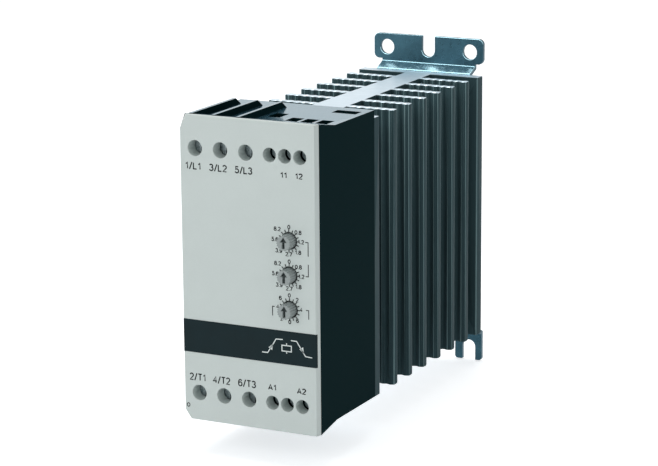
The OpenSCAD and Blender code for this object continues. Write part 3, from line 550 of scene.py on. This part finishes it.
class Tree:
    """Short way to write a Geometry Nodes tree with named inputs."""

    def __init__(self, name, inputs):
        self.group = bpy.data.node_groups.new(name, "GeometryNodeTree")
        self.ids = {}
        for label, kind in inputs.items():
            socket = self.group.interface.new_socket(label, in_out="INPUT", socket_type="NodeSocket" + kind)
            self.ids[label] = socket.identifier
        self.group.interface.new_socket("Geometry", in_out="OUTPUT", socket_type="NodeSocketGeometry")
        self.input = self.group.nodes.new("NodeGroupInput").outputs

    def add(self, kind, sockets=None, **settings):
        """A new node's first output; sockets are fed from other nodes or set to a value."""
        node = self.group.nodes.new(kind)
        for key, value in settings.items():
            setattr(node, key, value)
        for key, value in (sockets or {}).items():
            if isinstance(value, bpy.types.NodeSocket):
                self.group.links.new(value, node.inputs[key])
            else:
                node.inputs[key].default_value = value
        return node.outputs[0]

    def maths(self, operation, first, second):
        return self.add("ShaderNodeMath", {0: first, 1: second}, operation=operation)

    def end(self, geometry):
        """Closes the tree: real geometry, in the material that is given."""
        real = self.add("GeometryNodeRealizeInstances", {0: geometry})
        painted = self.add("GeometryNodeSetMaterial", {"Geometry": real, "Material": self.input["Material"]})
        out = self.group.nodes.new("NodeGroupOutput")
        self.group.links.new(painted, out.inputs[0])
        return self

    def build(self, name, values):
        """A plain mesh object made by this tree with these input values."""
        piece = placed(name, bpy.data.meshes.new(name))
        modifier = piece.modifiers.new("build", "NODES")
        modifier.node_group = self.group
        for label, value in values.items():
            modifier[self.ids[label]] = value
        return applied(piece)


def tick_tree():
    """A ring of flat ticks on the cover, all pointing at the dial's middle."""
    tree = Tree("Dial ticks", {"Centre": "Vector", "Count": "Int", "Radius": "Float", "Tick Length": "Float",
                               "Tick Width": "Float", "Thickness": "Float", "Material": "Material"})
    given = tree.input
    ring = tree.add("GeometryNodeMeshCircle", {"Vertices": given["Count"], "Radius": given["Radius"]})
    points = tree.add("GeometryNodeMeshToPoints", {0: ring})
    size = tree.add("ShaderNodeCombineXYZ", {0: given["Tick Length"], 1: given["Tick Width"],
                                             2: given["Thickness"]})
    tick = tree.add("GeometryNodeMeshCube", {"Size": size})
    place = tree.add("GeometryNodeInputPosition")
    turn = tree.add("FunctionNodeAlignRotationToVector", {"Vector": place}, axis="X")
    ticks = tree.add("GeometryNodeInstanceOnPoints", {"Points": points, "Instance": tick, "Rotation": turn})
    upright = tree.add("GeometryNodeTransform", {"Geometry": ticks, "Rotation": (math.radians(90), 0, 0),
                                                 "Translation": given["Centre"]})
    return tree.end(upright)


def thread_tree():
    """A helical thread ridge about an axis along the depth."""
    tree = Tree("Screw thread", {"Start": "Vector", "Radius": "Float", "Pitch": "Float",
                                 "Length": "Float", "Depth": "Float", "Material": "Material"})
    given = tree.input
    half_depth = tree.maths("MULTIPLY", given["Depth"], 0.5)
    middle = tree.maths("SUBTRACT", given["Radius"], half_depth)
    turns = tree.maths("DIVIDE", given["Length"], given["Pitch"])
    helix = tree.add("GeometryNodeCurveSpiral",
                     {"Resolution": 24, "Rotations": turns, "Start Radius": middle,
                      "End Radius": middle, "Height": given["Length"], "Reverse": False})
    ridge = tree.add("GeometryNodeCurvePrimitiveCircle", {"Resolution": 4, "Radius": half_depth},
                     mode="RADIUS")
    thread = tree.add("GeometryNodeCurveToMesh", {"Curve": helix, "Profile Curve": ridge, "Fill Caps": True})
    along = tree.add("GeometryNodeTransform", {"Geometry": thread, "Rotation": (math.radians(-90), 0, 0),
                                               "Translation": given["Start"]})
    return tree.end(along)


TREES = {}


def tree_of(maker):
    """The tree that this maker builds, made the first time that a piece asks for it."""
    if maker not in TREES:
        TREES[maker] = maker()
    return TREES[maker]


# Printed marks

def bow(x, z, across, up, start, end, steps=9):
    """Points along part of an oval, from one angle to another."""
    angles = [math.radians(start + (end - start) * k / steps) for k in range(steps + 1)]
    return [(x + across * math.cos(a), z + up * math.sin(a)) for a in angles]


# Of each printed character: the width of its cell, whose height is 1, and its strokes
CHARACTERS = {
    "0": (0.58, [bow(0.29, 0.5, 0.29, 0.5, 90, 450, 16)]),
    "1": (0.4, [[(0.04, 0.76), (0.2, 0.83), (0.32, 1.0), (0.32, 0.0)]]),
    "2": (0.58, [bow(0.29, 0.72, 0.28, 0.28, 165, -35) + [(0.0, 0.0), (0.58, 0.0)]]),
    "3": (0.58, [bow(0.28, 0.76, 0.25, 0.24, 160, -80, 8) + bow(0.28, 0.27, 0.3, 0.27, 80, -160)]),
    "4": (0.62, [[(0.46, 0.0), (0.46, 1.0), (0.0, 0.28), (0.62, 0.28)]]),
    "5": (0.58, [[(0.53, 1.0), (0.12, 1.0), (0.06, 0.5)] + bow(0.28, 0.32, 0.3, 0.32, 125, -160, 10)]),
    "6": (0.58, [bow(0.3, 0.6, 0.3, 0.4, 35, 180, 6) + bow(0.29, 0.31, 0.29, 0.31, 180, 540, 14)]),
    "7": (0.56, [[(0.0, 1.0), (0.56, 1.0), (0.18, 0.0)]]),
    "8": (0.58, [bow(0.29, 0.77, 0.24, 0.23, 270, -90, 12), bow(0.29, 0.27, 0.29, 0.27, 90, 450, 14)]),
    "9": (0.58, [bow(0.28, 0.4, 0.3, 0.4, -145, 0, 6) + bow(0.29, 0.69, 0.29, 0.31, 0, 360, 14)]),
    "/": (0.4, [[(0.0, -0.08), (0.4, 1.08)]]),
    ".": (0.06, [[(0.03, -0.06), (0.03, 0.1)]]),
    "L": (0.5, [[(0.0, 1.0), (0.0, 0.0), (0.5, 0.0)]]),
    "T": (0.64, [[(0.0, 1.0), (0.64, 1.0)], [(0.32, 1.0), (0.32, 0.0)]]),
    "A": (0.66, [[(0.0, 0.0), (0.33, 1.0), (0.66, 0.0)], [(0.12, 0.3), (0.54, 0.3)]]),
}
LETTER_GAP = 0.24

# Corners sharper than this keep a blunt tip instead of a long mitre
SHARPEST = 0.6


def typed_width(text):
    """Width of printed characters from the first line's middle to the last one's, at height 1."""
    return sum(CHARACTERS[letter][0] for letter in text) + LETTER_GAP * (len(text) - 1)


def mark(text, x, z, height, stretch, width):
    """The strokes of printed characters, centred on x and z of the cover and height high, in mm."""
    left = -typed_width(text) / 2
    tall = height - width / MM
    parts = []
    for letter in text:
        cell, lines = CHARACTERS[letter]
        for line in lines:
            points = [(x + (left + across) * height * stretch, z + (up - 0.5) * tall) for across, up in line]
            parts.append(stroke(points, width))
        left += cell + LETTER_GAP
    return parts


def raised(work):
    """An ink mark from flat faces on the cover: thick towards the front, with a closed back."""
    ink = bpy.context.scene.controller_shape.ink
    bmesh.ops.remove_doubles(work, verts=work.verts, dist=DOUBLE)
    bmesh.ops.recalc_face_normals(work, faces=work.faces)
    front = bmesh.ops.extrude_face_region(work, geom=work.faces[:], use_keep_orig=True)
    moved = [item for item in front["geom"] if isinstance(item, bmesh.types.BMVert)]
    bmesh.ops.translate(work, vec=Vector((0, -ink, 0)), verts=moved)
    bmesh.ops.recalc_face_normals(work, faces=work.faces)
    return made("mark", work)


def stroke(points, width, face_y=FACE_Y, closed=False):
    """A printed line through points on the cover, in mm, with mitred corners."""
    path = [Vector(p) * MM for p in points]
    # The way from each point to the next, and from the last one back to the first
    ways = [(after - before).normalized() for before, after in zip(path, path[1:] + path[:1])]
    half = width / 2
    last = len(path) - 1
    origin = on_cover(0, 0)
    work = bmesh.new()
    rows = []
    for index, point in enumerate(path):
        way_in = ways[index - 1] if index or closed else ways[index]
        way_out = ways[index] if index < last or closed else way_in
        normal_a, normal_b = Vector((-way_in.y, way_in.x)), Vector((-way_out.y, way_out.x))
        offset = (normal_a + normal_b) / max(1 + normal_a.dot(normal_b), SHARPEST) * half
        rows.append([work.verts.new((origin.x + p.x, face_y, origin.z + p.y))
                     for p in (point + offset, point - offset)])
    for low, high in zip(rows, rows[1:] + rows[:1] if closed else rows[1:]):
        work.faces.new((low[0], low[1], high[1], high[0]))
    return raised(work)


def filled(points, face_y):
    """A printed flat shape on the cover, in mm."""
    work = bmesh.new()
    work.faces.new([work.verts.new(on_cover(x, z, face_y)) for x, z in points])
    return raised(work)


# Pieces

class CONTROLLER_OT_front_cover(bpy.types.Operator):
    """Makes the light grey front cover with its rounded edges"""
    bl_idname = "controller.front_cover"
    bl_label = "Front cover"

    def execute(self, context):
        shape = context.scene.controller_shape
        cover = softened("front_cover", "cover_moulding", shape.cover_edge)
        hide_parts("front_cover")
        dress(cover, "module", "cover_grey", "cover plastic")
        return {"FINISHED"}


class CONTROLLER_OT_housing(bpy.types.Operator):
    """Makes the black housing, satin on its sides, glossy with a painted sheen on top and below"""
    bl_idname = "controller.housing"
    bl_label = "Housing"

    def execute(self, context):
        shape = context.scene.controller_shape
        housing = softened("housing", "housing_moulding", shape.housing_edge, clamp=True)
        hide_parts("housing")
        dress(housing, "module", "housing_black", "housing side", "housing top")
        # Faces that look up or down get the painted sheen; the sides keep the black plastic
        for face in housing.data.polygons:
            face.material_index = 1 if is_level(face) else 0
        return {"FINISHED"}


class CONTROLLER_OT_label_band(bpy.types.Operator):
    """Makes the dark foil band and the white ramp and coil symbols printed on it"""
    bl_idname = "controller.label_band"
    bl_label = "Label band"

    # Places across from the cover's middle and up from its lower edge, in mm
    LINES = (((4.33, 23.67), (6.2, 23.68), (9.05, 28.12), (11.22, 28.18)),
             ((13.91, 28.19), (15.73, 28.15), (18.6, 23.93), (20.77, 23.79)),
             ((12.45, 26.48), (12.45, 27.18)),
             ((12.45, 24.76), (12.45, 24.06)))
    COIL = ((10.91, 24.76), (14.0, 24.76), (14.0, 26.48), (10.91, 26.48))
    ARROWHEADS = (((6.5, 25.3), (7.7, 24.6), (7.95, 26.55)),
                  ((16.65, 25.9), (17.85, 26.65), (18.05, 24.7)))

    def execute(self, context):
        shape = context.scene.controller_shape
        band = softened("label_band", "band_foil", shape.band_edge)
        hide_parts("label_band")
        dress(band, "module", "band_dark", "band foil")
        parts = [stroke(line, shape.symbol_width, BAND_FACE_Y) for line in self.LINES]
        parts.append(stroke(self.COIL, shape.symbol_width, BAND_FACE_Y, closed=True))
        parts += [filled(head, BAND_FACE_Y) for head in self.ARROWHEADS]
        symbols = joined("band_symbols", parts)
        dress(symbols, "module", "band_dark", "symbol ink")
        return {"FINISHED"}


class CONTROLLER_OT_dials(bpy.types.Operator):
    """Makes the three grooved setting knobs with their dark pointer grooves"""
    bl_idname = "controller.dials"
    bl_label = "Dials"

    # How far the groove reaches from the knob's middle, and where it lies behind the knob's front
    GROOVE_REACH = 1.95 * MM
    GROOVE_DEPTH = (0.5 * MM, 2 * MM)

    def execute(self, context):
        shape = context.scene.controller_shape
        for name in DIALS:
            node = name + "_dial"
            knob = softened(node, name + "_knob", shape.knob_edge, angle=25.0, segments=1)
            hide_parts(node)
            dress(knob, node, "dial_grey", "knob plastic", "pointer paint")
            self.paint_groove(knob.data, *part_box(node))
        return {"FINISHED"}

    def paint_groove(self, mesh, low, high):
        middle = (low + high) / 2
        shallow, deep = (low.y + depth for depth in self.GROOVE_DEPTH)
        for face in mesh.polygons:
            x, y, z = face.center
            inside = math.hypot(x - middle.x, z - middle.z) < self.GROOVE_REACH
            if inside and shallow < y < deep:
                face.material_index = 1


class CONTROLLER_OT_dial_scales(bpy.types.Operator):
    """Prints the ring of ticks, the numbers and the thin brackets around each dial"""
    bl_idname = "controller.dial_scales"
    bl_label = "Dial scales"

    # Numbers around the ramp dials and the torque dial: text, and its place from the dial's middle in mm
    TIMES = (("0", 0.03, 4.1), ("0.8", 3.0, 2.76), ("1.2", 3.9, 0.05), ("1.8", 2.95, -3.13),
             ("2.7", -0.08, -3.95), ("3.9", -3.33, -3.15), ("5.6", -4.57, 0.1), ("8.2", -3.76, 3.23))
    STEPS = (("0", -0.06, 4.23), ("2", 2.48, 3.12), ("4", 3.74, 0.35), ("6", 2.55, -3.06),
             ("0", 0, -3.72), ("2", -2.69, -3.02), ("4", -3.9, 0.51), ("6", -2.96, 3.18))
    # Height of these numbers in mm, and their width as a share of the characters' own
    DIGIT, NARROW = 1.32, 0.9
    # Lines beside the dials, across from the cover's middle and up from its lower edge, in mm
    BRACKETS = (((18.8, 57.9), (19.7, 57.9), (19.7, 53.8)), ((19.7, 51.4), (19.7, 47.8), (18.8, 47.8)),
                ((8.6, 37.8), (7.9, 37.8), (7.9, 35.0)), ((18.85, 37.75), (19.7, 37.75), (19.7, 35.1)))

    def execute(self, context):
        shape = context.scene.controller_shape
        parts = [stroke(line, shape.line_width) for line in self.BRACKETS]
        for name in DIALS:
            low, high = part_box(name + "_dial")
            middle = (low + high) / 2
            parts.append(tree_of(tick_tree).build("ticks", {
                "Centre": (middle.x, FACE_Y - shape.ink / 2, middle.z), "Count": shape.tick_count,
                "Radius": shape.tick_radius, "Tick Length": shape.tick_length,
                "Tick Width": shape.tick_width, "Thickness": shape.ink,
                "Material": finish_of("mark ink")}))
            x, z = (middle.x - COVER_X) / MM, (middle.z - COVER_LO.z) / MM
            for text, right, up in self.STEPS if name == "torque" else self.TIMES:
                parts += mark(text, x + right, z + up, self.DIGIT, self.NARROW, shape.digit_width)
        scales = joined("dial_scales", parts)
        dress(scales, "module", "band_dark", "mark ink")
        return {"FINISHED"}


class CONTROLLER_OT_terminal_marks(bpy.types.Operator):
    """Prints the terminal numbers above and below the screw holes"""
    bl_idname = "controller.terminal_marks"
    bl_label = "Terminal marks"

    # Text, place of its middle on the cover, height and width, in mm
    MARKS = (("1/L1", -17.73, 77.21, 2.2, 5.37), ("3/L2", -9.43, 77.23, 2.2, 5.97),
             ("5/L3", -1.02, 77.26, 2.2, 5.82), ("11", 12.03, 77.0, 1.8, 2.33),
             ("12", 16.93, 77.06, 1.8, 2.53), ("2/T1", -17.53, 13.2, 2.3, 5.57),
             ("4/T2", -9.48, 13.19, 2.3, 5.88), ("6/T3", -0.92, 13.28, 2.3, 5.97),
             ("A1", 7.48, 13.21, 1.9, 2.83), ("A2", 17.1, 13.2, 1.9, 3.04))
    # The small ring in the lower left corner: its place, and its reach across and up, in mm
    RING = (-20.86, 4.27, 0.44, 0.55)
    RING_POINTS = 18

    def execute(self, context):
        shape = context.scene.controller_shape
        parts = []
        for text, x, z, height, width in self.MARKS:
            stretch = (width * MM - shape.letter_width) / (typed_width(text) * height * MM)
            parts += mark(text, x, z, height, stretch, shape.letter_width)
        last_angle = 360 - 360 / self.RING_POINTS
        circle = bow(*self.RING, 0, last_angle, self.RING_POINTS - 1)
        parts.append(stroke(circle, shape.line_width, closed=True))
        marks = joined("terminal_marks", parts)
        dress(marks, "module", "band_dark", "mark ink")
        return {"FINISHED"}


class CONTROLLER_OT_terminals(bpy.types.Operator):
    """Makes the threaded terminal screws, and finishes their clamp cages and contact bars"""
    bl_idname = "controller.terminals"
    bl_label = "Terminals"

    # Radius and pitch of the thread, and length of the head, in mm
    POWER = (1.75, 0.6, 2.4)
    SMALL = (1.25, 0.45, 1.4)
    ROWS = {"line": POWER, "signal": SMALL, "load": POWER, "control": SMALL}
    # Shares of the thread's radius: the core inside it, and the reach of the shank's points
    CORE, SHANK = 0.8, 1.2
    # The shank's points start this far behind the head
    HEAD_MARGIN = 0.02 * MM
    # Share of its depth by which the thread stays inside its radius
    INSET = 0.1
    # Largest rounding of a head's rim, as a share of the head's length
    RIM = 0.12

    def execute(self, context):
        shape = context.scene.controller_shape
        for group in self.ROWS:
            for index in (1, 2, 3):
                self.make_screw(group, index, shape.head_edge)
                clamp = f"{group}_clamp_{index}"
                cage = softened(clamp, f"{group}_cage_{index}", shape.cage_edge)
                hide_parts(clamp)
                dress(cage, clamp, "cage_steel", "cage steel")
        for node in sorted(NODES):
            if "_bar_" in node or node == "through_bar":
                paint(NODES[node], "bar copper")
        return {"FINISHED"}

    def make_screw(self, group, index, edge):
        """One screw: its shank made thinner, with a thread wound round it."""
        radius, pitch, head = (value * MM for value in self.ROWS[group])
        node = f"{group}_screw_{index}"
        low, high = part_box(node)
        middle = (low + high) / 2
        under = low.y + head
        screw = softened(node, node + "_turned", min(edge, self.RIM * head))
        for vert in screw.data.vertices:
            away = Vector((vert.co.x - middle.x, vert.co.z - middle.z))
            if vert.co.y > under + self.HEAD_MARGIN and away.length < radius * self.SHANK:
                vert.co.x = middle.x + away.x * self.CORE
                vert.co.z = middle.z + away.y * self.CORE
        depth = radius * (1 - self.CORE)
        thread = tree_of(thread_tree).build("thread", {
            "Start": (middle.x, under + depth, middle.z), "Radius": radius - depth * self.INSET,
            "Pitch": pitch, "Length": high.y - under - 2 * depth, "Depth": depth,
            "Material": finish_of("screw steel")})
        screw = smoothed(joined(f"{group}_terminal_{index}", [screw, thread]), angle=40.0)
        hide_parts(node)
        dress(screw, node, "screw_steel", "screw steel")


class CONTROLLER_OT_heat_sink(bpy.types.Operator):
    """Makes the extruded heat sink, black anodised with bright sawn ends"""
    bl_idname = "controller.heat_sink"
    bl_label = "Heat sink"

    # Share of the fin edge's rounding that a ripple's crest gets
    CREST = 0.7
    # Outer edges lie this near to the left or right side, and turn by more than the corner
    SIDE_MARGIN = 0.3 * MM
    CORNER = math.radians(50)
    # Crests turn by more than this, between faces that look to the front or back
    RIPPLE = math.radians(8)

    def execute(self, context):
        shape = context.scene.controller_shape
        finishes = ("sink anodised", "sink edges", "sink sawn")
        sink = merged_copy("heat_sink", "sink_extrusion", flat=False)
        paint(sink, *finishes)
        self.weigh_edges(sink.data)
        # The rounding's faces take the brighter edge colour, partly wear and partly painted highlight
        round_edges(sink, shape.fin_edge, 3, "WEIGHT").material = 1
        smoothed(applied(sink), angle=35.0)
        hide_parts("heat_sink")
        rounded = [face.material_index for face in sink.data.polygons]
        dress(sink, "module", "sink_black", *finishes)
        for face, slot in zip(sink.data.polygons, rounded):
            face.material_index = 2 if is_level(face) else slot
        return {"FINISHED"}

    def weigh_edges(self, mesh):
        """Marks the long outer edges of the fins and plates, and the ripples' crests, for rounding in a
        brighter colour, partly wear and partly painted highlight.
        """
        work = bmesh.new()
        work.from_mesh(mesh)
        weight = work.edges.layers.float.new("bevel_weight_edge")
        right = max(vert.co.x for vert in work.verts) - self.SIDE_MARGIN
        left = min(vert.co.x for vert in work.verts) + self.SIDE_MARGIN
        for edge in work.edges:
            first, second = (vert.co for vert in edge.verts)
            upright = abs(first.z - second.z) > NEARLY * (first - second).length
            if not upright or len(edge.link_faces) != 2:
                continue
            turn = edge.calc_face_angle_signed()
            normal_a, normal_b = (face.normal for face in edge.link_faces)
            if not left < first.x < right and turn > self.CORNER:
                edge[weight] = 1.0
            elif turn > self.RIPPLE and normal_a.x * normal_b.x < 0 and abs(normal_a.y) > NEARLY:
                edge[weight] = self.CREST
        work.to_mesh(mesh)
        work.free()


class CONTROLLER_OT_bracket(bpy.types.Operator):
    """Makes the folded, zinc-plated mounting bracket"""
    bl_idname = "controller.bracket"
    bl_label = "Mounting bracket"

    # Least upward slope of the fold's faces, which look to the front and up and get the painted highlight
    # colour
    HIGHLIGHT_SLOPE = 0.12

    def execute(self, context):
        shape = context.scene.controller_shape
        bracket = softened("mounting_bracket", "bracket_sheet", shape.sheet_edge, angle=20.0, segments=3)
        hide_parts("mounting_bracket")
        # The bracket's zinc colour is darkened, a painted reflection of a dark studio
        dress(bracket, "module", "zinc_sheet", "bracket zinc", "bracket fold")
        # Faces that look to the front and up get the painted highlight; the rest keep the darkened zinc
        for face in bracket.data.polygons:
            face.material_index = 1 if face.normal.z > self.HIGHLIGHT_SLOPE and face.normal.y < 0 else 0
        return {"FINISHED"}


class CONTROLLER_OT_fixings(bpy.types.Operator):
    """Makes the screws that hold the housing, the semiconductors and the bracket"""
    bl_idname = "controller.fixings"
    bl_label = "Fixing screws"

    def execute(self, context):
        shape = context.scene.controller_shape
        for node in ("housing_screws", "thyristor_screws", "bracket_screws"):
            screws = softened(node, node + "_turned", shape.head_edge)
            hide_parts(node)
            dress(screws, "module", "screw_steel", "screw steel")
        return {"FINISHED"}


class CONTROLLER_OT_electronics(bpy.types.Operator):
    """Finishes the boards, the semiconductors and the other parts inside the housing"""
    bl_idname = "controller.electronics"
    bl_label = "Electronics"

    PARTS = {"control_board": "board green", "power_board": "board green", "board_link": "strip black",
             "thyristor_1": "chip black", "thyristor_3": "chip black", "insulating_pad": "pad grey",
             "signal_relay": "relay blue", "supply_capacitor": "capacitor sleeve",
             "surge_varistors": "varistor blue"}

    def execute(self, context):
        for node, finish in self.PARTS.items():
            paint(NODES[node], finish)
        for name in DIALS:
            paint(NODES[name + "_switch"], "switch black")
        return {"FINISHED"}


# Stage

WHITE = (1.0, 1.0, 1.0)


def softbox(name, place, target, size, brightness):
    """A square soft lamp that looks at the target, with a brightness in display units."""
    light = bpy.data.lights.new(name, "AREA")
    light.shape = "SQUARE"
    light.size = size
    light.energy = brightness * math.pi * size * size
    lamp = placed(name, light)
    lamp.location = place
    lamp.rotation_mode = "QUATERNION"
    lamp.rotation_quaternion = (target - place).to_track_quat("-Z", "Y")


def seen_directly(nodes, links):
    """1 for rays that come from the camera, a mirror or through glass, and otherwise 0."""
    path = nodes.new("ShaderNodeLightPath")
    total = path.outputs["Is Camera Ray"]
    for name in ("Is Glossy Ray", "Is Transmission Ray"):
        either = nodes.new("ShaderNodeMath")
        either.operation = "MAXIMUM"
        links.new(total, either.inputs[0])
        links.new(path.outputs[name], either.inputs[1])
        total = either.outputs[0]
    return total


class CONTROLLER_OT_stage(bpy.types.Operator):
    """Sets the pale floor, the soft lamps, the white surroundings and the camera"""
    bl_idname = "controller.stage"
    bl_label = "Stage"

    # Name, place from the object's middle and size in metres, and the studio value with the brightness
    SOFTBOXES = (("front softbox", (-0.3, -0.9, 0.35), 0.7, "key"),
                 ("right softbox", (0.85, -0.4, 0.25), 0.6, "side"),
                 ("top softbox", (-0.15, 0.1, 0.8), 0.6, "top"))
    # Half the floor's width, the cells along it and the gap under the object
    FLOOR_REACH, FLOOR_CELLS, FLOOR_GAP = 6.0, 8, 0.2 * MM
    # Camera: place in mm, and its turn to the left, tilt from straight down and roll in degrees
    CAMERA_AT = (343.53, -756.01, 131.98)
    CAMERA_TURNS = ((26.777, "Z"), (76.815, "X"), (-0.441, "Z"))

    def execute(self, context):
        scene = context.scene
        studio = scene.controller_studio
        scene.view_settings.view_transform = "Standard"
        self.make_world(scene, studio)
        self.make_floor(studio)
        middle = (CAD_BOX[0] + CAD_BOX[1]) / 2
        for name, away, size, brightness in self.SOFTBOXES:
            softbox(name, middle + Vector(away), middle, size, getattr(studio, brightness))
        self.make_camera(scene, studio)
        return {"FINISHED"}

    def make_world(self, scene, studio):
        world = bpy.data.worlds.new("white surroundings")
        scene.world = world
        world.use_nodes = True
        nodes, links = world.node_tree.nodes, world.node_tree.links
        nodes.clear()
        out = nodes.new("ShaderNodeOutputWorld")
        mix = nodes.new("ShaderNodeMixShader")
        links.new(seen_directly(nodes, links), mix.inputs[0])
        for index, tint, strength in ((1, studio.ambient_tint, studio.ambient), (2, WHITE, 1.0)):
            light = nodes.new("ShaderNodeBackground")
            light.inputs["Color"].default_value = (*tint, 1.0)
            light.inputs["Strength"].default_value = strength
            links.new(light.outputs[0], mix.inputs[index])
        links.new(mix.outputs[0], out.inputs["Surface"])

    def make_floor(self, studio):
        material = bpy.data.materials.new("floor paper")
        material.use_nodes = True
        nodes, links = material.node_tree.nodes, material.node_tree.links
        paper = nodes["Principled BSDF"]
        paper.inputs["Base Color"].default_value = (*studio.floor, 1.0)
        paper.inputs["Roughness"].default_value = 0.9
        paper.inputs["Specular IOR Level"].default_value = 0.1
        paper.inputs["Emission Color"].default_value = (*WHITE, 1.0)
        lift = nodes.new("ShaderNodeMath")
        lift.operation = "MULTIPLY"
        lift.inputs[1].default_value = studio.floor_lift
        links.new(seen_directly(nodes, links), lift.inputs[0])
        links.new(lift.outputs[0], paper.inputs["Emission Strength"])
        work = bmesh.new()
        under = Matrix.Translation((0, 0, CAD_BOX[0].z - self.FLOOR_GAP))
        bmesh.ops.create_grid(work, x_segments=self.FLOOR_CELLS, y_segments=self.FLOOR_CELLS,
                              size=self.FLOOR_REACH, matrix=under)
        floor = made("studio_floor", work)
        floor.data.materials.append(material)

    def make_camera(self, scene, studio):
        data = bpy.data.cameras.new("photo camera")
        data.sensor_fit, data.sensor_width = "HORIZONTAL", 36.0
        data.lens = studio.lens
        data.clip_start, data.clip_end = 0.01, 20.0
        camera = placed("photo camera", data)
        camera.matrix_world = Matrix.Translation(Vector(self.CAMERA_AT) * MM)
        for degrees, axis in self.CAMERA_TURNS:
            camera.matrix_world @= Matrix.Rotation(math.radians(degrees), 4, axis)
        scene.camera = camera


class CONTROLLER_PT_panel(bpy.types.Panel):
    """Lists the operators and the values that they use"""
    bl_idname = "CONTROLLER_PT_panel"
    bl_label = "Soft-start controller"
    bl_space_type = "VIEW_3D"
    bl_region_type = "UI"
    bl_category = "Controller"

    def draw(self, context):
        layout = self.layout
        for operator in OPERATORS:
            layout.operator(operator.bl_idname)
        for title, group in (("Shape", context.scene.controller_shape),
                             ("Finish", context.scene.controller_finish),
                             ("Studio", context.scene.controller_studio)):
            box = layout.box()
            box.label(text=title)
            for name in type(group).__annotations__:
                box.prop(group, name)


OPERATORS = (CONTROLLER_OT_stage, CONTROLLER_OT_front_cover, CONTROLLER_OT_housing,
             CONTROLLER_OT_label_band, CONTROLLER_OT_dials, CONTROLLER_OT_dial_scales,
             CONTROLLER_OT_terminal_marks, CONTROLLER_OT_terminals, CONTROLLER_OT_heat_sink,
             CONTROLLER_OT_bracket, CONTROLLER_OT_fixings, CONTROLLER_OT_electronics)
PROPERTIES = (("controller_shape", ControllerShape), ("controller_finish", ControllerFinish),
              ("controller_studio", ControllerStudio))


def register():
    for name, group in PROPERTIES:
        bpy.utils.register_class(group)
        setattr(bpy.types.Scene, name, PointerProperty(type=group))
    for item in (*OPERATORS, CONTROLLER_PT_panel):
        bpy.utils.register_class(item)


def unregister():
    for item in reversed((*OPERATORS, CONTROLLER_PT_panel)):
        bpy.utils.unregister_class(item)
    for name, group in reversed(PROPERTIES):
        delattr(bpy.types.Scene, name)
        bpy.utils.unregister_class(group)


def main():
    register()
    for operator in OPERATORS:
        family, name = operator.bl_idname.split(".")
        getattr(getattr(bpy.ops, family), name)()


if __name__ == "__main__":
    main()
